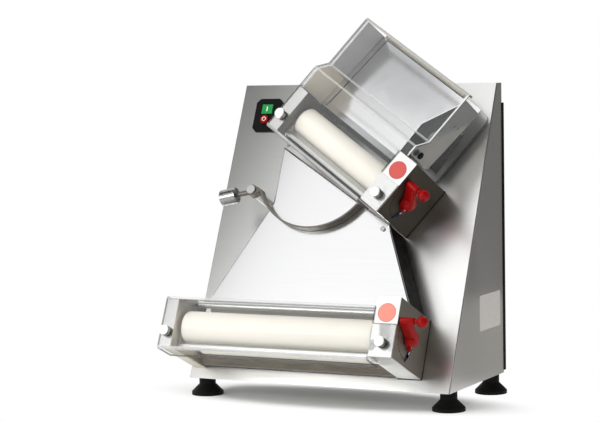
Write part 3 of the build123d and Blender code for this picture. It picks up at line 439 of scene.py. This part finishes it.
def upperGuard():
    left = -unit["span"]["upper"] - unit["supportWidth"]
    floor = unit["supportBottom"] - guard["foldOut"]
    front, top, thick = unit["depth"], hood["top"], guard["thickness"]
    hoodFront = front - hood["setBack"]
    aboveBox = unit["boxHeight"] / 2 + guard["gap"]
    upperStep, lowerStep = (hoodFront, hood["stepHigh"]), (front, hood["stepLow"])
    corners = [(hoodFront - hood["rim"], top), (hoodFront, top), upperStep, lowerStep, (front, aboveBox),
               (front, guard["tabTop"]), (front, guard["tabBottom"]), (front, floor),
               (front - guard["floor"], floor)]
    stations = (left, -guard["gap"], hood["right"], unit["boxWidth"])
    sheet = foldedSheet(corners, guard, stations, lambda s, t, w: guardCells(s, t, w, aboveBox), guardFinish)
    turn = np.linspace(0, math.pi / 2, hood["cornerSteps"])
    rounded = np.stack([1 - np.sin(turn), np.cos(turn) - 1], axis=1) * hood["corner"]
    square = np.zeros((1, 2))

    # A side wall: the stepped front, the corner at the top of its back, and a straight foot.
    def wall(back, low, corner, depths):
        outline = [(front, low), lowerStep, upperStep, (hoodFront, top), *(corner + (back, top)), (back, low)]
        return flatPlate(outline, depths, "wts", guardFinish["face"], guardFinish["edge"])

    rightWall = wall(hood["rightBack"], aboveBox, rounded, (hood["right"] - thick, hood["right"]))
    leftWall = wall(hood["leftBack"], unit["supportTop"] + guard["gap"], square, (left, left + thick))
    makePiece("upperGuardSheet", inUnit("upper", [sheet, rightWall, leftWall]), "housing",
              ["upper_guard"])


# Thumb knobs: a turned head with fine knurling round its side and a slightly domed, faced-off front. The
# profile holds radii and heights, and the knurl tells which of them the waves cut.
knob = {"profile": ((0, 0), (7, 0), (7, 0.6), (8, 1.2), (8, 1.8), (8, 7.5), (8, 8), (7, 9), (4, 9.375),
                    (0, 9.5)),
        "knurl": (0, 0, 0, 0, 1, 1, 0, 0, 0, 0), "waves": 40, "depth": 0.35, "sides": 160, "faceFrom": 6,
        "t": -24.5, "base": 120}
# Nickel-plated steel, faced off on the lathe: matt, and pale as a painted reflection of the light the face
# catches.
knobFace = grained("faced_nickel", ("#f0f0ee", "#f8f8f6"), 1, (0.34, 0.46), Metallic=0.5)


def thumbKnob(name, hand):
    s = unit["boxWidth"] / 2 if hand == "right" else -unit["span"][name] - unit["supportWidth"] / 2
    head = turned(knob["profile"], finishes["plated_steel"], (s, knob["t"], knob["base"]), "w", knob["sides"],
                  knobFace, knob["faceFrom"], knob["knurl"], knob["waves"], knob["depth"])
    makePiece(f"{name}{hand.capitalize()}Knob", inUnit(name, [head]), f"{name}_{hand}_thumb_knob",
              [f"{name}_knob_{hand}"])


# Plain red discs on the gear boxes' fronts: turned films, whose last band is the field in a thin darker rim.
disc = {"place": (19, 21.5), "radius": 14.2, "rim": 0.6, "film": 0.25, "sides": 96, "fieldFrom": 3,
        "fields": {"lower": ("#e88674", "#ec8c7a"), "upper": ("#c44038", "#ca463e")},
        "rims": {"lower": ("#b8504a", "#c05650"), "upper": ("#a83833", "#b03c37")}, "roughness": (0.35, 0.45)}


def markDisc(name):
    field = glossyPlastic(f"{name}_red_film", disc["fields"][name], disc["roughness"])
    rim = glossyPlastic(f"{name}_dark_red_film", disc["rims"][name], disc["roughness"])
    radius, film = disc["radius"], disc["film"]
    profile = [(0, 0), (radius, 0), (radius, film), (radius - disc["rim"], film), (0, film)]
    centre = (*disc["place"], unit["depth"])
    sticker = turned(profile, rim, centre, "w", disc["sides"], field, disc["fieldFrom"])
    makePiece(f"{name}MarkDisc", inUnit(name, [sticker]), "housing")


# Painted shade on a gear box's right side: a rectangle of dark sheet just inside the box's outline, darker on
# the upper box.
sideShade = {"t": (-45.6, 45.6), "w": (1.6, 116.6), "thick": 0.25,
            "colours": {"lower": ("#928d84", "#9a958c"), "upper": ("#565048", "#5e5850")}}


def boxSideShade(name):
    outline = rectangle(sideShade["w"], sideShade["t"])
    depths = (unit["boxWidth"], unit["boxWidth"] + sideShade["thick"])
    sheet = flatPlate(outline, depths, "wts", shadeTintedStainless(f"{name}_side_shade_sheet", sideShade["colours"][name]))
    makePiece(f"{name}SideShade", inUnit(name, [sheet]), "housing")


# Front plate on a left support: a rectangle of pale sheet, under the clear guard.
frontPlate = {"inset": 0.5, "thick": 0.3}


def supportFront(name):
    inset = frontPlate["inset"]
    right = -unit["span"][name]
    limits = (right - unit["supportWidth"] + inset, right - inset)
    outline = rectangle(limits, (unit["supportBottom"] + inset, unit["supportTop"] - inset))
    sheet = flatPlate(outline, (unit["depth"], unit["depth"] + frontPlate["thick"]), "stw", satinSheet)
    makePiece(f"{name}SupportFront", inUnit(name, [sheet]), "housing")


# Printed scale beside the lever: dashes on an arc in t and w, each an arc carried through the ink's width.
dial = {"radius": 30.5, "start": -93, "sweep": 105, "dashes": 11, "share": 0.5, "width": 1.5, "film": 0.12,
        "centre": (-4.8, 76.1), "steps": 5}


def leverScale(name):
    pitch = dial["sweep"] / dial["dashes"]
    starts = dial["start"] + pitch * np.arange(dial["dashes"])
    angle = np.radians(starts[:, None] + pitch * dial["share"] * np.linspace(0, 1, dial["steps"]))[..., None]
    across, up = np.array(rectangle((-dial["width"] / 2, dial["width"] / 2), (0, dial["film"]))).T
    reach = dial["radius"] + across
    centreT, centreW = dial["centre"]
    s = unit["boxWidth"] + sideShade["thick"] + up
    rows = np.broadcast_arrays(s, centreT + reach * np.sin(angle), centreW + reach * np.cos(angle))
    dashes = [closedForm(dash, finishes["black_plastic"]) for dash in np.stack(rows, axis=-1)]
    makePiece(f"{name}LeverScale", inUnit(name, dashes), "housing")


# Setting lever: a boss beside the box, a thick arm up to a round grip with a ball on its end, and a short
# tail. Profiles hold radii and heights. Each rounding holds drops from the top, and the insets there.
lever = {"base": 39.7, "boss": (-5, 75), "grip": {"lower": (12, 108.8), "upper": (17, 103)},
         "tail": (-20.5, 69),
         "bossProfile": ((0, 0), (12, 0), (11.6, 6), (10.6, 12), (9.6, 13.8), (8, 14.6), (0, 14.8)),
         "armRadii": (5.8, 5.8), "armTop": 15.8, "armRounding": ((2, 0), (1.2, 0.2), (0.5, 0.8), (0, 2)),
         "tailRadii": (4, 2), "tailTop": 4.8, "tailRounding": ((1, 0), (0, 0.8)),
         "gripProfile": ((0, 0), (5.6, 0), (5.6, 20.3), (5.3, 21), (4.6, 21.3), (3.2, 21.3)),
         "ballRadius": 8.8, "ballCentre": 33.4, "ballSteps": 24}


def settingLever(name):
    red, base = finishes["red_plastic"], lever["base"]
    grip, ball = lever["grip"][name], lever["ballRadius"]

    # A limb from the boss to its end, rounded over at the top.
    def limb(end, radii, top, rounding):
        drops, insets = np.array(rounding).T
        return linkPlate((lever["boss"], end), radii, (base, *(base + top - drops)), (0, *insets), red)

    boss = turned(lever["bossProfile"], red, (base, *lever["boss"]), "s")
    arm = limb(grip, lever["armRadii"], lever["armTop"], lever["armRounding"])
    tail = limb(lever["tail"], lever["tailRadii"], lever["tailTop"], lever["tailRounding"])
    neck = lever["gripProfile"][-1][0]
    angle = np.linspace(math.asin(neck / ball), math.pi, lever["ballSteps"])
    globe = np.stack([ball * np.sin(angle), lever["ballCentre"] - ball * np.cos(angle)], axis=1)
    handle = turned(np.concatenate([lever["gripProfile"], globe]), red, (base, *grip), "s")
    makePiece(f"{name}SettingLever", inUnit(name, [boss, arm, tail, handle]), f"{name}_setting",
              [f"{name}_lever", f"{name}_lever_ball"])


# Blue pointer under the lever: a hub on the shaft, a bent needle and a pale line along it, a painted
# highlight.
pointer = {"bends": ((8.5, 66), (-9, 55), (-29, 66.8), (-37.5, 72)), "radii": (7, 2.4, 3, 0.8),
           "depth": (38.5, 39.5), "line": ((-12, 57), (-25, 64.5)), "lineRadii": (0.7, 0.7), "ink": 0.15}


def settingPointer(name):
    bends, radii, depth, ink = pointer["bends"], pointer["radii"], pointer["depth"], pointer["ink"]
    square = (0, 0)
    needle = [linkPlate(bends[step:step + 2], radii[step:step + 2], depth, square, finishes["blue_pointer"])
              for step in range(len(bends) - 1)]
    glintDepths = (depth[1] - ink, depth[1] + ink)
    line = linkPlate(pointer["line"], pointer["lineRadii"], glintDepths, square, whiteInkAndGlint)
    makePiece(f"{name}SettingPointer", inUnit(name, [*needle, line]), f"{name}_setting",
              [f"{name}_pointer"])


# Snail cam inside the box, on the lever's shaft: as the lever turns, its radius follows the front shaft's
# end. The rest of its outline is the hub's circle.
cam = {"centre": (8.5, 66), "across": -15.5, "reach": 16, "travel": 3.5, "journal": 7.5, "turn": 78,
       "dwell": 0.12, "hub": 9, "steps": 24, "depth": (16, 21), "shaft": 6, "shaftEnd": 41, "shaftEdge": 0.5}


def settingCam(name):
    steel = finishes["shaft_steel"]
    share = np.linspace(-cam["dwell"], 1 + cam["dwell"], cam["steps"])
    moved = cam["reach"] + cam["travel"] * np.clip(share, 0, 1)
    snail = np.hypot(moved, cam["across"]) - cam["journal"]
    snailAngle = np.arctan2(cam["across"], moved) - math.radians(cam["turn"]) * share
    hubAngle = np.linspace(snailAngle[-1], snailAngle[0] - 2 * math.pi, cam["steps"])
    radius = np.concatenate([snail, np.full(cam["steps"], cam["hub"])])
    angle = np.concatenate([snailAngle, hubAngle])
    centreT, centreW = cam["centre"]
    outline = np.stack([centreW + radius * np.cos(angle), centreT + radius * np.sin(angle)], axis=1)
    disk = flatPlate(outline, cam["depth"], "wts", steel)
    start, end, shaft, edge = cam["depth"][0], cam["shaftEnd"], cam["shaft"], cam["shaftEdge"]
    profile = [(0, start), (shaft, start), (shaft, end - edge), (shaft - edge, end), (0, end)]
    axle = turned(profile, steel, (0, *cam["centre"]), "s")
    makePiece(f"{name}SettingCam", inUnit(name, [disk, axle]), f"{name}_setting",
              [f"{name}_lever_cam"])


# Painted contact shadow between a gear box and the panel: a black square section carried round the box's
# foot.
footShade = {"proud": 0.6, "inside": 1.2, "depth": 1.5}


def boxFootShade(name):
    half = unit["boxHeight"] / 2
    corners = np.array(rectangle((0, unit["boxWidth"]), (-half, half)))
    away = np.array(rectangle((-1, 1), (-1, 1)))
    out, deep = np.array(rectangle((-footShade["inside"], footShade["proud"]), (0, footShade["depth"]))).T
    ring = corners[:, None] + away[:, None] * out[:, None]
    rows = np.concatenate([ring, np.broadcast_to(deep[:, None], ring.shape[:2] + (1,))], axis=-1)
    rows = np.concatenate([rows, rows[:1]])
    patches = [(gridFaces(len(rows), len(out), closed=True), finishes["black_rubber"])]
    makePiece(f"{name}FootShade", inUnit(name, [(rows.reshape(-1, 3), patches)]), "housing")


# Bare pale plate on the right side, where such machines carry their data: arcs about four corner centres.
plate = {"y": (53, 137.5), "z": (107, 161.5), "thick": 0.5, "corner": 3, "cornerSteps": 5}


def blankPlate():
    (front, back), (low, high), corner = plate["y"], plate["z"], plate["corner"]
    centres = np.array(rectangle((back - corner, front + corner), (high - corner, low + corner)))
    turn = np.linspace(0, math.pi / 2, plate["cornerSteps"])
    angle = np.arange(len(centres))[:, None] * math.pi / 2 + turn
    arcs = corner * np.stack([np.cos(angle), np.sin(angle)], axis=-1)
    outline = (centres[:, None] + arcs).reshape(-1, 2)
    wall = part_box("housing_shell")[1].x / mm
    # Anodised foil: pale grey, matt, with faint rolled streaks.
    foil = grained("anodised_foil", ("#cfccc7", "#d9d6d1"), (0.6, 20, 0.6), (0.45, 0.58), Metallic=0.2)
    points, patches = flatPlate(outline, (wall, wall + plate["thick"]), "tws", foil)
    makePiece("blankPlate", [(points * mm, patches)], "housing")


# Marks printed on the buttons: a bar on the start button and a ring on the stop button.
mark = {"barAlong": (-304.9, -303.3), "barUp": (384.4, 392.4), "barBase": 6, "ring": (-305.1, 369.9, 9),
        "ringRadii": (2.6, 3.6), "ink": 0.15}


def buttonMarks():
    base, ink = mark["barBase"], mark["ink"]
    stroke = flatPlate(rectangle(mark["barAlong"], mark["barUp"]), (base, base + ink), "stw", whiteInkAndGlint)
    makePiece("startMark", inUnit("lower", [stroke]), "start")
    profile = rectangle(mark["ringRadii"], (0, ink))
    ring = turned([*profile, profile[0]], whiteInkAndGlint, mark["ring"], "w")
    makePiece("stopMark", inUnit("lower", [ring]), "stop")


# Black pieces on the feed tray, in the rubber finish: a bead along its rim, and painted shade as a sheet on
# its right wall, over the gap under the tray, and as a lip at its foot, over the gap above the roller.
edging = {"bead": ((-200, 33, 50.6), (-200, 40, 47.2), (-200, 174, 35.4), (-24, 174, 35.4)), "radius": 1.1,
          "gapShade": ((48, 133), (27, 133), (21, 117), (12, 58), (41, 58)), "gapShadeDepth": (11.8, 12.9),
          "lipAlong": (-208, -22), "lipUp": (23.5, 30.5), "lipDepth": (50.5, 51.5)}


def trayEdging():
    rubber = finishes["black_rubber"]
    bead = roundBar(edging["bead"], edging["radius"], rubber)
    gapShade = flatPlate(edging["gapShade"], edging["gapShadeDepth"], "wts", rubber)
    lip = flatPlate(rectangle(edging["lipAlong"], edging["lipUp"]), edging["lipDepth"], "stw", rubber)
    makePiece("trayEdging", inUnit("upper", [bead, gapShade, lip]), "housing")


# Painted reflections on the tray's walls, as thin sheets: dark painted shade along the guide, and on the left
# wall grey above tan, where the lower part mirrors the cream roller.
wallReflection = {"guide": ((-17.2, 42), (-19.2, 100), (12, 159.3), (12.4, 159.1), (-18.7, 99.9), (-16.7, 42)),
         "guideDepth": (49, 84), "high": ((93, 84.2), (93, 173), (37, 175), (44, 84.2)),
         "low": ((115, 30), (115, 65), (93.2, 83.8), (44, 83.8), (48, 40), (52, 30)),
         "wallDepth": (-210.1, -209.8)}


def trayWallReflections():
    guide = flatPlate(wallReflection["guide"], wallReflection["guideDepth"], "stw", bluedSteelAndShade)
    makePiece("guideShadeSheet", inUnit("upper", [guide]), "housing")
    grey = paintedReflectionSheet("grey_reflection_sheet", ("#bababa", "#bebebe"))
    tan = paintedReflectionSheet("tan_reflection_sheet", ("#ede3d0", "#f1e7d4"))
    walls = [flatPlate(wallReflection["high"], wallReflection["wallDepth"], "wts", grey),
             flatPlate(wallReflection["low"], wallReflection["wallDepth"], "wts", tan)]
    makePiece("trayWallReflectionSheet", inUnit("upper", walls), "housing")


# Piano hinge along the tray's top: one turned form, whose knuckles narrow by the gap at their ends.
hinge = {"place": (0, 178.2, 37), "ends": (-205, -24), "radius": 2.6, "knuckles": 20, "gap": 0.5, "sides": 16}


def trayHinge():
    gap, radius = hinge["gap"], hinge["radius"]
    breaks = np.linspace(*hinge["ends"], hinge["knuckles"] + 1)
    places = np.concatenate([breaks[:-1, None] + (0, gap), breaks[1:, None] - (gap, 0)], axis=1).ravel()
    reach = np.tile((radius - gap, radius, radius, radius - gap), hinge["knuckles"])
    profile = np.concatenate([[(0, places[0])], np.stack([reach, places], axis=1), [(0, places[-1])]])
    # Zinc-plated hinge steel: beige-grey and matt.
    zinc = grained("zinc_plated_steel", ("#aaa38e", "#beb7a2"), 2, (0.35, 0.48), 3, Metallic=0.6)
    barrel = turned(profile, zinc, hinge["place"], "s", hinge["sides"])
    makePiece("trayHinge", inUnit("upper", [barrel]), "housing")


# Small fittings of the hood: a painted highlight along the edge of its right wall, a dark pivot there, two
# screws and a standoff.
fitting = {"edge": ((17.6, 176, 98), (17.6, 84.6, 98), (17.6, 66.2, 120), (17.6, 47.5, 120)),
           "edgeRadius": 0.9,
           "pivot": (18, 60.4, 93.8), "pivotProfile": ((0, 0), (5.5, 0), (5.5, 2.4), (4.9, 3), (0, 3)),
           "screw": (18, 128.9, 59.1), "screwProfile": ((0, 0), (2.8, 0), (2.6, 1), (1.6, 1.6), (0, 1.7)),
           "standoff": (14.5, 128.7, 35), "standoffProfile": ((0, 0), (2.5, 0), (2.5, 0.4), (0, 0.4)),
           "guardScrew": (-173, -52, 97),
           "guardScrewProfile": ((0, 0), (3, 0), (3, -2), (1.5, -2.6), (1.5, -5), (0, -5))}


def hoodFittings():
    lit = sheetLine("polycarbonate_painted_highlight", "#f4f4f0", 0.9)
    edge = roundBar(fitting["edge"], fitting["edgeRadius"], lit)
    makePiece("hoodEdgeHighlight", inUnit("upper", [edge]), "housing")
    pivot = turned(fitting["pivotProfile"], finishes["black_plastic"], fitting["pivot"], "s")
    makePiece("hoodPivot", inUnit("upper", [pivot]), "housing")
    screws = [turned(fitting[f"{part}Profile"], finishes["plated_steel"], fitting[part], axis)
              for part, axis in (("screw", "s"), ("standoff", "s"), ("guardScrew", "t"))]
    makePiece("hoodScrews", inUnit("upper", screws), "housing")


# Bar above the lower roller, which keeps hands from the nip: a rod, a bolt at its left and a flanged ear.
bar = {"t": 34.8, "w": 66, "radius": 4.8, "edge": 0.6, "boltRadius": 2.2, "boltGap": 6, "earThick": 1.5,
       "ear": ((116, 27), (116, 28.2), (64, 43), (56, 41), (54, 27)), "flange": 13, "flangeTop": 37}


def rollerBar():
    left, right, radius, edge, bolt = -unit["span"]["lower"], 0, bar["radius"], bar["edge"], bar["boltRadius"]
    centre = (0, bar["t"], bar["w"])
    start = left + bar["boltGap"]
    full = start + edge
    rod = turned([(0, start), (radius - edge, start), (radius, full), (radius, right), (0, right)],
                 finishes["polished_stainless"], centre, "s")
    shank = turned([(0, left), (bolt, left), (bolt, full), (0, full)], bluedSteelAndShade, centre, "s")
    # The ear takes the lower support's painted reflection, and the flange the scraper's painted shade.
    ear = flatPlate(bar["ear"], (left - bar["earThick"], left), "wts", ownFinish["lower_left_support"])
    back, low = bar["ear"][-1]
    outline = rectangle((left, left + bar["flange"]), (low, bar["flangeTop"]))
    flange = flatPlate(outline, (back, back + bar["earThick"]), "stw", ownFinish["lower_rear_scraper"])
    makePiece("rollerBar", inUnit("lower", [rod, shank, ear, flange]), "housing")


# Painted shade on the chute's right side, towards the gear boxes: a thin black sheet between two corners of
# its right wall.
chuteWall = {"ends": ((28.4, 47.9), (-27.6, 175.4)), "skin": 0.4, "depth": (1, 57)}


def chuteSideShade():
    start, end = np.array(chuteWall["ends"])
    along = (end - start) / np.linalg.norm(end - start)
    out = chuteWall["skin"] * np.array((along[1], -along[0]))
    sheet = flatPlate((start, start + out, end + out, end), chuteWall["depth"], "stw", bluedSteelAndShade)
    makePiece("chuteSideShade", inUnit("lower", [sheet]), "housing")


# Black seal between the housing and its rear cover: a square bar up each edge.
seal = {"width": 9, "depth": 7, "proud": 3}


def rearSeal():
    low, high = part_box("rear_cover")
    right = high.x / mm + seal["proud"]
    front = low.y / mm
    outline = rectangle((right - seal["width"], right), (front, front + seal["depth"]))
    points, patches = flatPlate(outline, (low.z / mm, high.z / mm), "stw", finishes["black_rubber"])
    bars = [(points * mm * (hand, 1, 1), patches) for hand in (1, -1)]
    makePiece("rearSeal", bars, "housing")


lowerGuard()
upperGuard()
unitNames = ("lower", "upper")
for unitName in unitNames:
    thumbKnob(unitName, "left")
    thumbKnob(unitName, "right")
    leverScale(unitName)
    settingLever(unitName)
    settingPointer(unitName)
    settingCam(unitName)
    boxFootShade(unitName)
    supportFront(unitName)
for boxPiece in (boxSideShade, markDisc):
    for unitName in unitNames:
        boxPiece(unitName)
blankPlate()
buttonMarks()
trayEdging()
trayWallReflections()
trayHinge()
hoodFittings()
rollerBar()
chuteSideShade()
rearSeal()
print("new pieces made")


# Studio: a pale floor that fades into the white background, soft lamps, and cards that only the metal shows.
studio = {"floorSize": 12, "floorReach": (0.36, 0.12, 1), "floorFade": (0.55, 0.95), "floorColour": "#f4f4f3",
          "worldLight": 0.55, "middle": (0, 0, 0.3), "eye": (1.3249, -2.7164, 0.5159), "turn": 26.95,
          "pitch": 4.25, "roll": -0.95, "lens": 118.18}
# Each lamp: power in watts, size and distance in metres, bearing and height in degrees, if metal shows it.
lamps = {"keyLamp": (21.5, 1.4, 2.2, -35, 45, False), "fillLamp": (5, 1.2, 2.4, 25, 35, False),
         "glintLamp": (3, 0.25, 1.25, -25, 8, True)}
# Each card: its colour as light, its bearings and heights in degrees, and its distance in metres.
cards = {"softCard": ((1.55, 1.55, 1.55), (-43, -6), (15, 57.6), 1.3),
         "sideCard": ((1.9, 1.9, 1.9), (-17, -4), (57.6, 80), 1.29),
         "lowCard": ((0.12, 0.12, 0.12), (-75, -43), (13, 29), 1.3),
         "leftCard": ((0.05, 0.05, 0.05), (-90, -43), (29, 62), 1.3),
         "topCard": ((0.66, 0.66, 0.67), (-90, 0), (57.6, 90), 1.31),
         "rightFlag": ((0.05, 0.047, 0.043), (4, 100), (-13, 88), 1.4),
         "wallCard": ((1.9, 1.82, 1.7), (4, 33), (8, 20), 1.3),
         "edgeCard": ((0.45, 0.43, 0.38), (33, 60), (7, 22), 1.3),
         "lowFlag": ((0.05, 0.047, 0.043), (-30, 4), (-13, 11), 1.35),
         "backFlag": ((0.18, 0.175, 0.17), (105, 168), (-28.5, 35), 0.62),
         "footFlag": ((0.34, 0.33, 0.31), (98, 168), (-41.5, -22), 0.45)}
cardSteps = 13


# An object of the studio, with its mesh and its material.
def studioForm(name, points, faces, material):
    mesh = bpy.data.meshes.new(name)
    mesh.from_pydata(points, [], faces)
    mesh.materials.append(material)
    made = bpy.data.objects.new(name, mesh)
    scene.collection.objects.link(made)
    return made


# A card as a patch of a sphere about the machine: each bearing by each height angle, at one distance.
def studioCard(name, tint, bearings, heights, distance):
    bearing, height = np.meshgrid(np.radians(np.linspace(*bearings, cardSteps)),
                                  np.radians(np.linspace(*heights, cardSteps)), indexing="ij")
    level = np.cos(height)
    ways = np.stack([np.sin(bearing) * level, -np.cos(bearing) * level, np.sin(height)], axis=-1)
    points = distance * ways.reshape(-1, 3) + np.array(studio["middle"])
    material, tree = emptyMaterial(name)
    glow = addNode(tree, "ShaderNodeEmission", {"Color": (*tint, 1)})
    addNode(tree, "ShaderNodeOutputMaterial", links={"Surface": glow.outputs[0]})
    card = studioForm(name, points.tolist(), gridFaces(cardSteps, cardSteps).tolist(), material)
    card.visible_camera = card.visible_diffuse = card.visible_shadow = card.visible_transmission = False


# A lamp turned to its bearing, tilted to its height and set back by its distance.
def studioLamp(name, power, size, distance, bearing, height, seen):
    data = bpy.data.lights.new(name, "AREA")
    data.energy = power
    data.size = size
    lamp = bpy.data.objects.new(name, data)
    lamp.matrix_world = (Matrix.Translation(studio["middle"]) @ Matrix.Rotation(math.radians(bearing), 4, "Z")
                         @ Matrix.Rotation(math.radians(90 - height), 4, "X")
                         @ Matrix.Translation((0, 0, distance)))
    lamp.visible_camera = False
    lamp.visible_glossy = seen
    scene.collection.objects.link(lamp)


# The floor is matt near the machine, and glows white beyond an ellipse.
def studioFloor():
    material, tree = emptyMaterial("pale_floor")
    place = addNode(tree, "ShaderNodeTexCoord")
    shrunk = addNode(tree, "ShaderNodeVectorMath", {1: studio["floorReach"]}, {0: place.outputs["Object"]},
                     operation="DIVIDE")
    distance = addNode(tree, "ShaderNodeVectorMath", links={0: shrunk.outputs[0]}, operation="LENGTH")
    near, far = studio["floorFade"]
    fade = addNode(tree, "ShaderNodeMapRange", {"From Min": near, "From Max": far},
                   {"Value": distance.outputs["Value"]}, interpolation_type="SMOOTHSTEP")
    matt = addNode(tree, "ShaderNodeBsdfDiffuse", {"Color": linear(studio["floorColour"])})
    white = addNode(tree, "ShaderNodeEmission")
    mixed = addNode(tree, "ShaderNodeMixShader",
                    links={0: fade.outputs[0], 1: matt.outputs[0], 2: white.outputs[0]})
    addNode(tree, "ShaderNodeOutputMaterial", links={"Surface": mixed.outputs[0]})
    limits = (-studio["floorSize"] / 2, studio["floorSize"] / 2)
    points = [(*corner, 0) for corner in rectangle(limits, limits)]
    floor = studioForm("floor", points, [(0, 1, 2, 3)], material)


# The world is white to the camera and in reflections, and dimmer as light on matt surfaces.
def studioWorld():
    world = bpy.data.worlds.new("studio")
    scene.world = world
    world.use_nodes = True
    tree = world.node_tree
    tree.nodes.clear()
    path = addNode(tree, "ShaderNodeLightPath")
    seen = addNode(tree, "ShaderNodeMath", operation="MAXIMUM",
                   links={0: path.outputs["Is Camera Ray"], 1: path.outputs["Is Glossy Ray"]})
    shown = addNode(tree, "ShaderNodeMath", operation="MAXIMUM",
                    links={0: seen.outputs[0], 1: path.outputs["Is Transmission Ray"]})
    level = addNode(tree, "ShaderNodeMapRange", {"To Min": studio["worldLight"]}, {"Value": shown.outputs[0]})
    glow = addNode(tree, "ShaderNodeBackground", {"Color": (1, 1, 1, 1)}, {"Strength": level.outputs[0]})
    addNode(tree, "ShaderNodeOutputWorld", links={"Surface": glow.outputs[0]})


# The camera fitted to the photo.
def studioCamera():
    data = bpy.data.cameras.new("camera")
    data.lens = studio["lens"]
    camera = bpy.data.objects.new("camera", data)
    camera.matrix_world = (Matrix.Translation(studio["eye"])
                           @ Matrix.Rotation(math.radians(studio["turn"]), 4, "Z")
                           @ Matrix.Rotation(math.radians(90 - studio["pitch"]), 4, "X")
                           @ Matrix.Rotation(math.radians(studio["roll"]), 4, "Z"))
    scene.collection.objects.link(camera)
    scene.camera = camera


studioFloor()
studioWorld()
studioCamera()
for lampName, lampValues in lamps.items():
    studioLamp(lampName, *lampValues)
for cardName, cardValues in cards.items():
    studioCard(cardName, *cardValues)
scene.view_settings.view_transform = "Standard"
print("studio set")
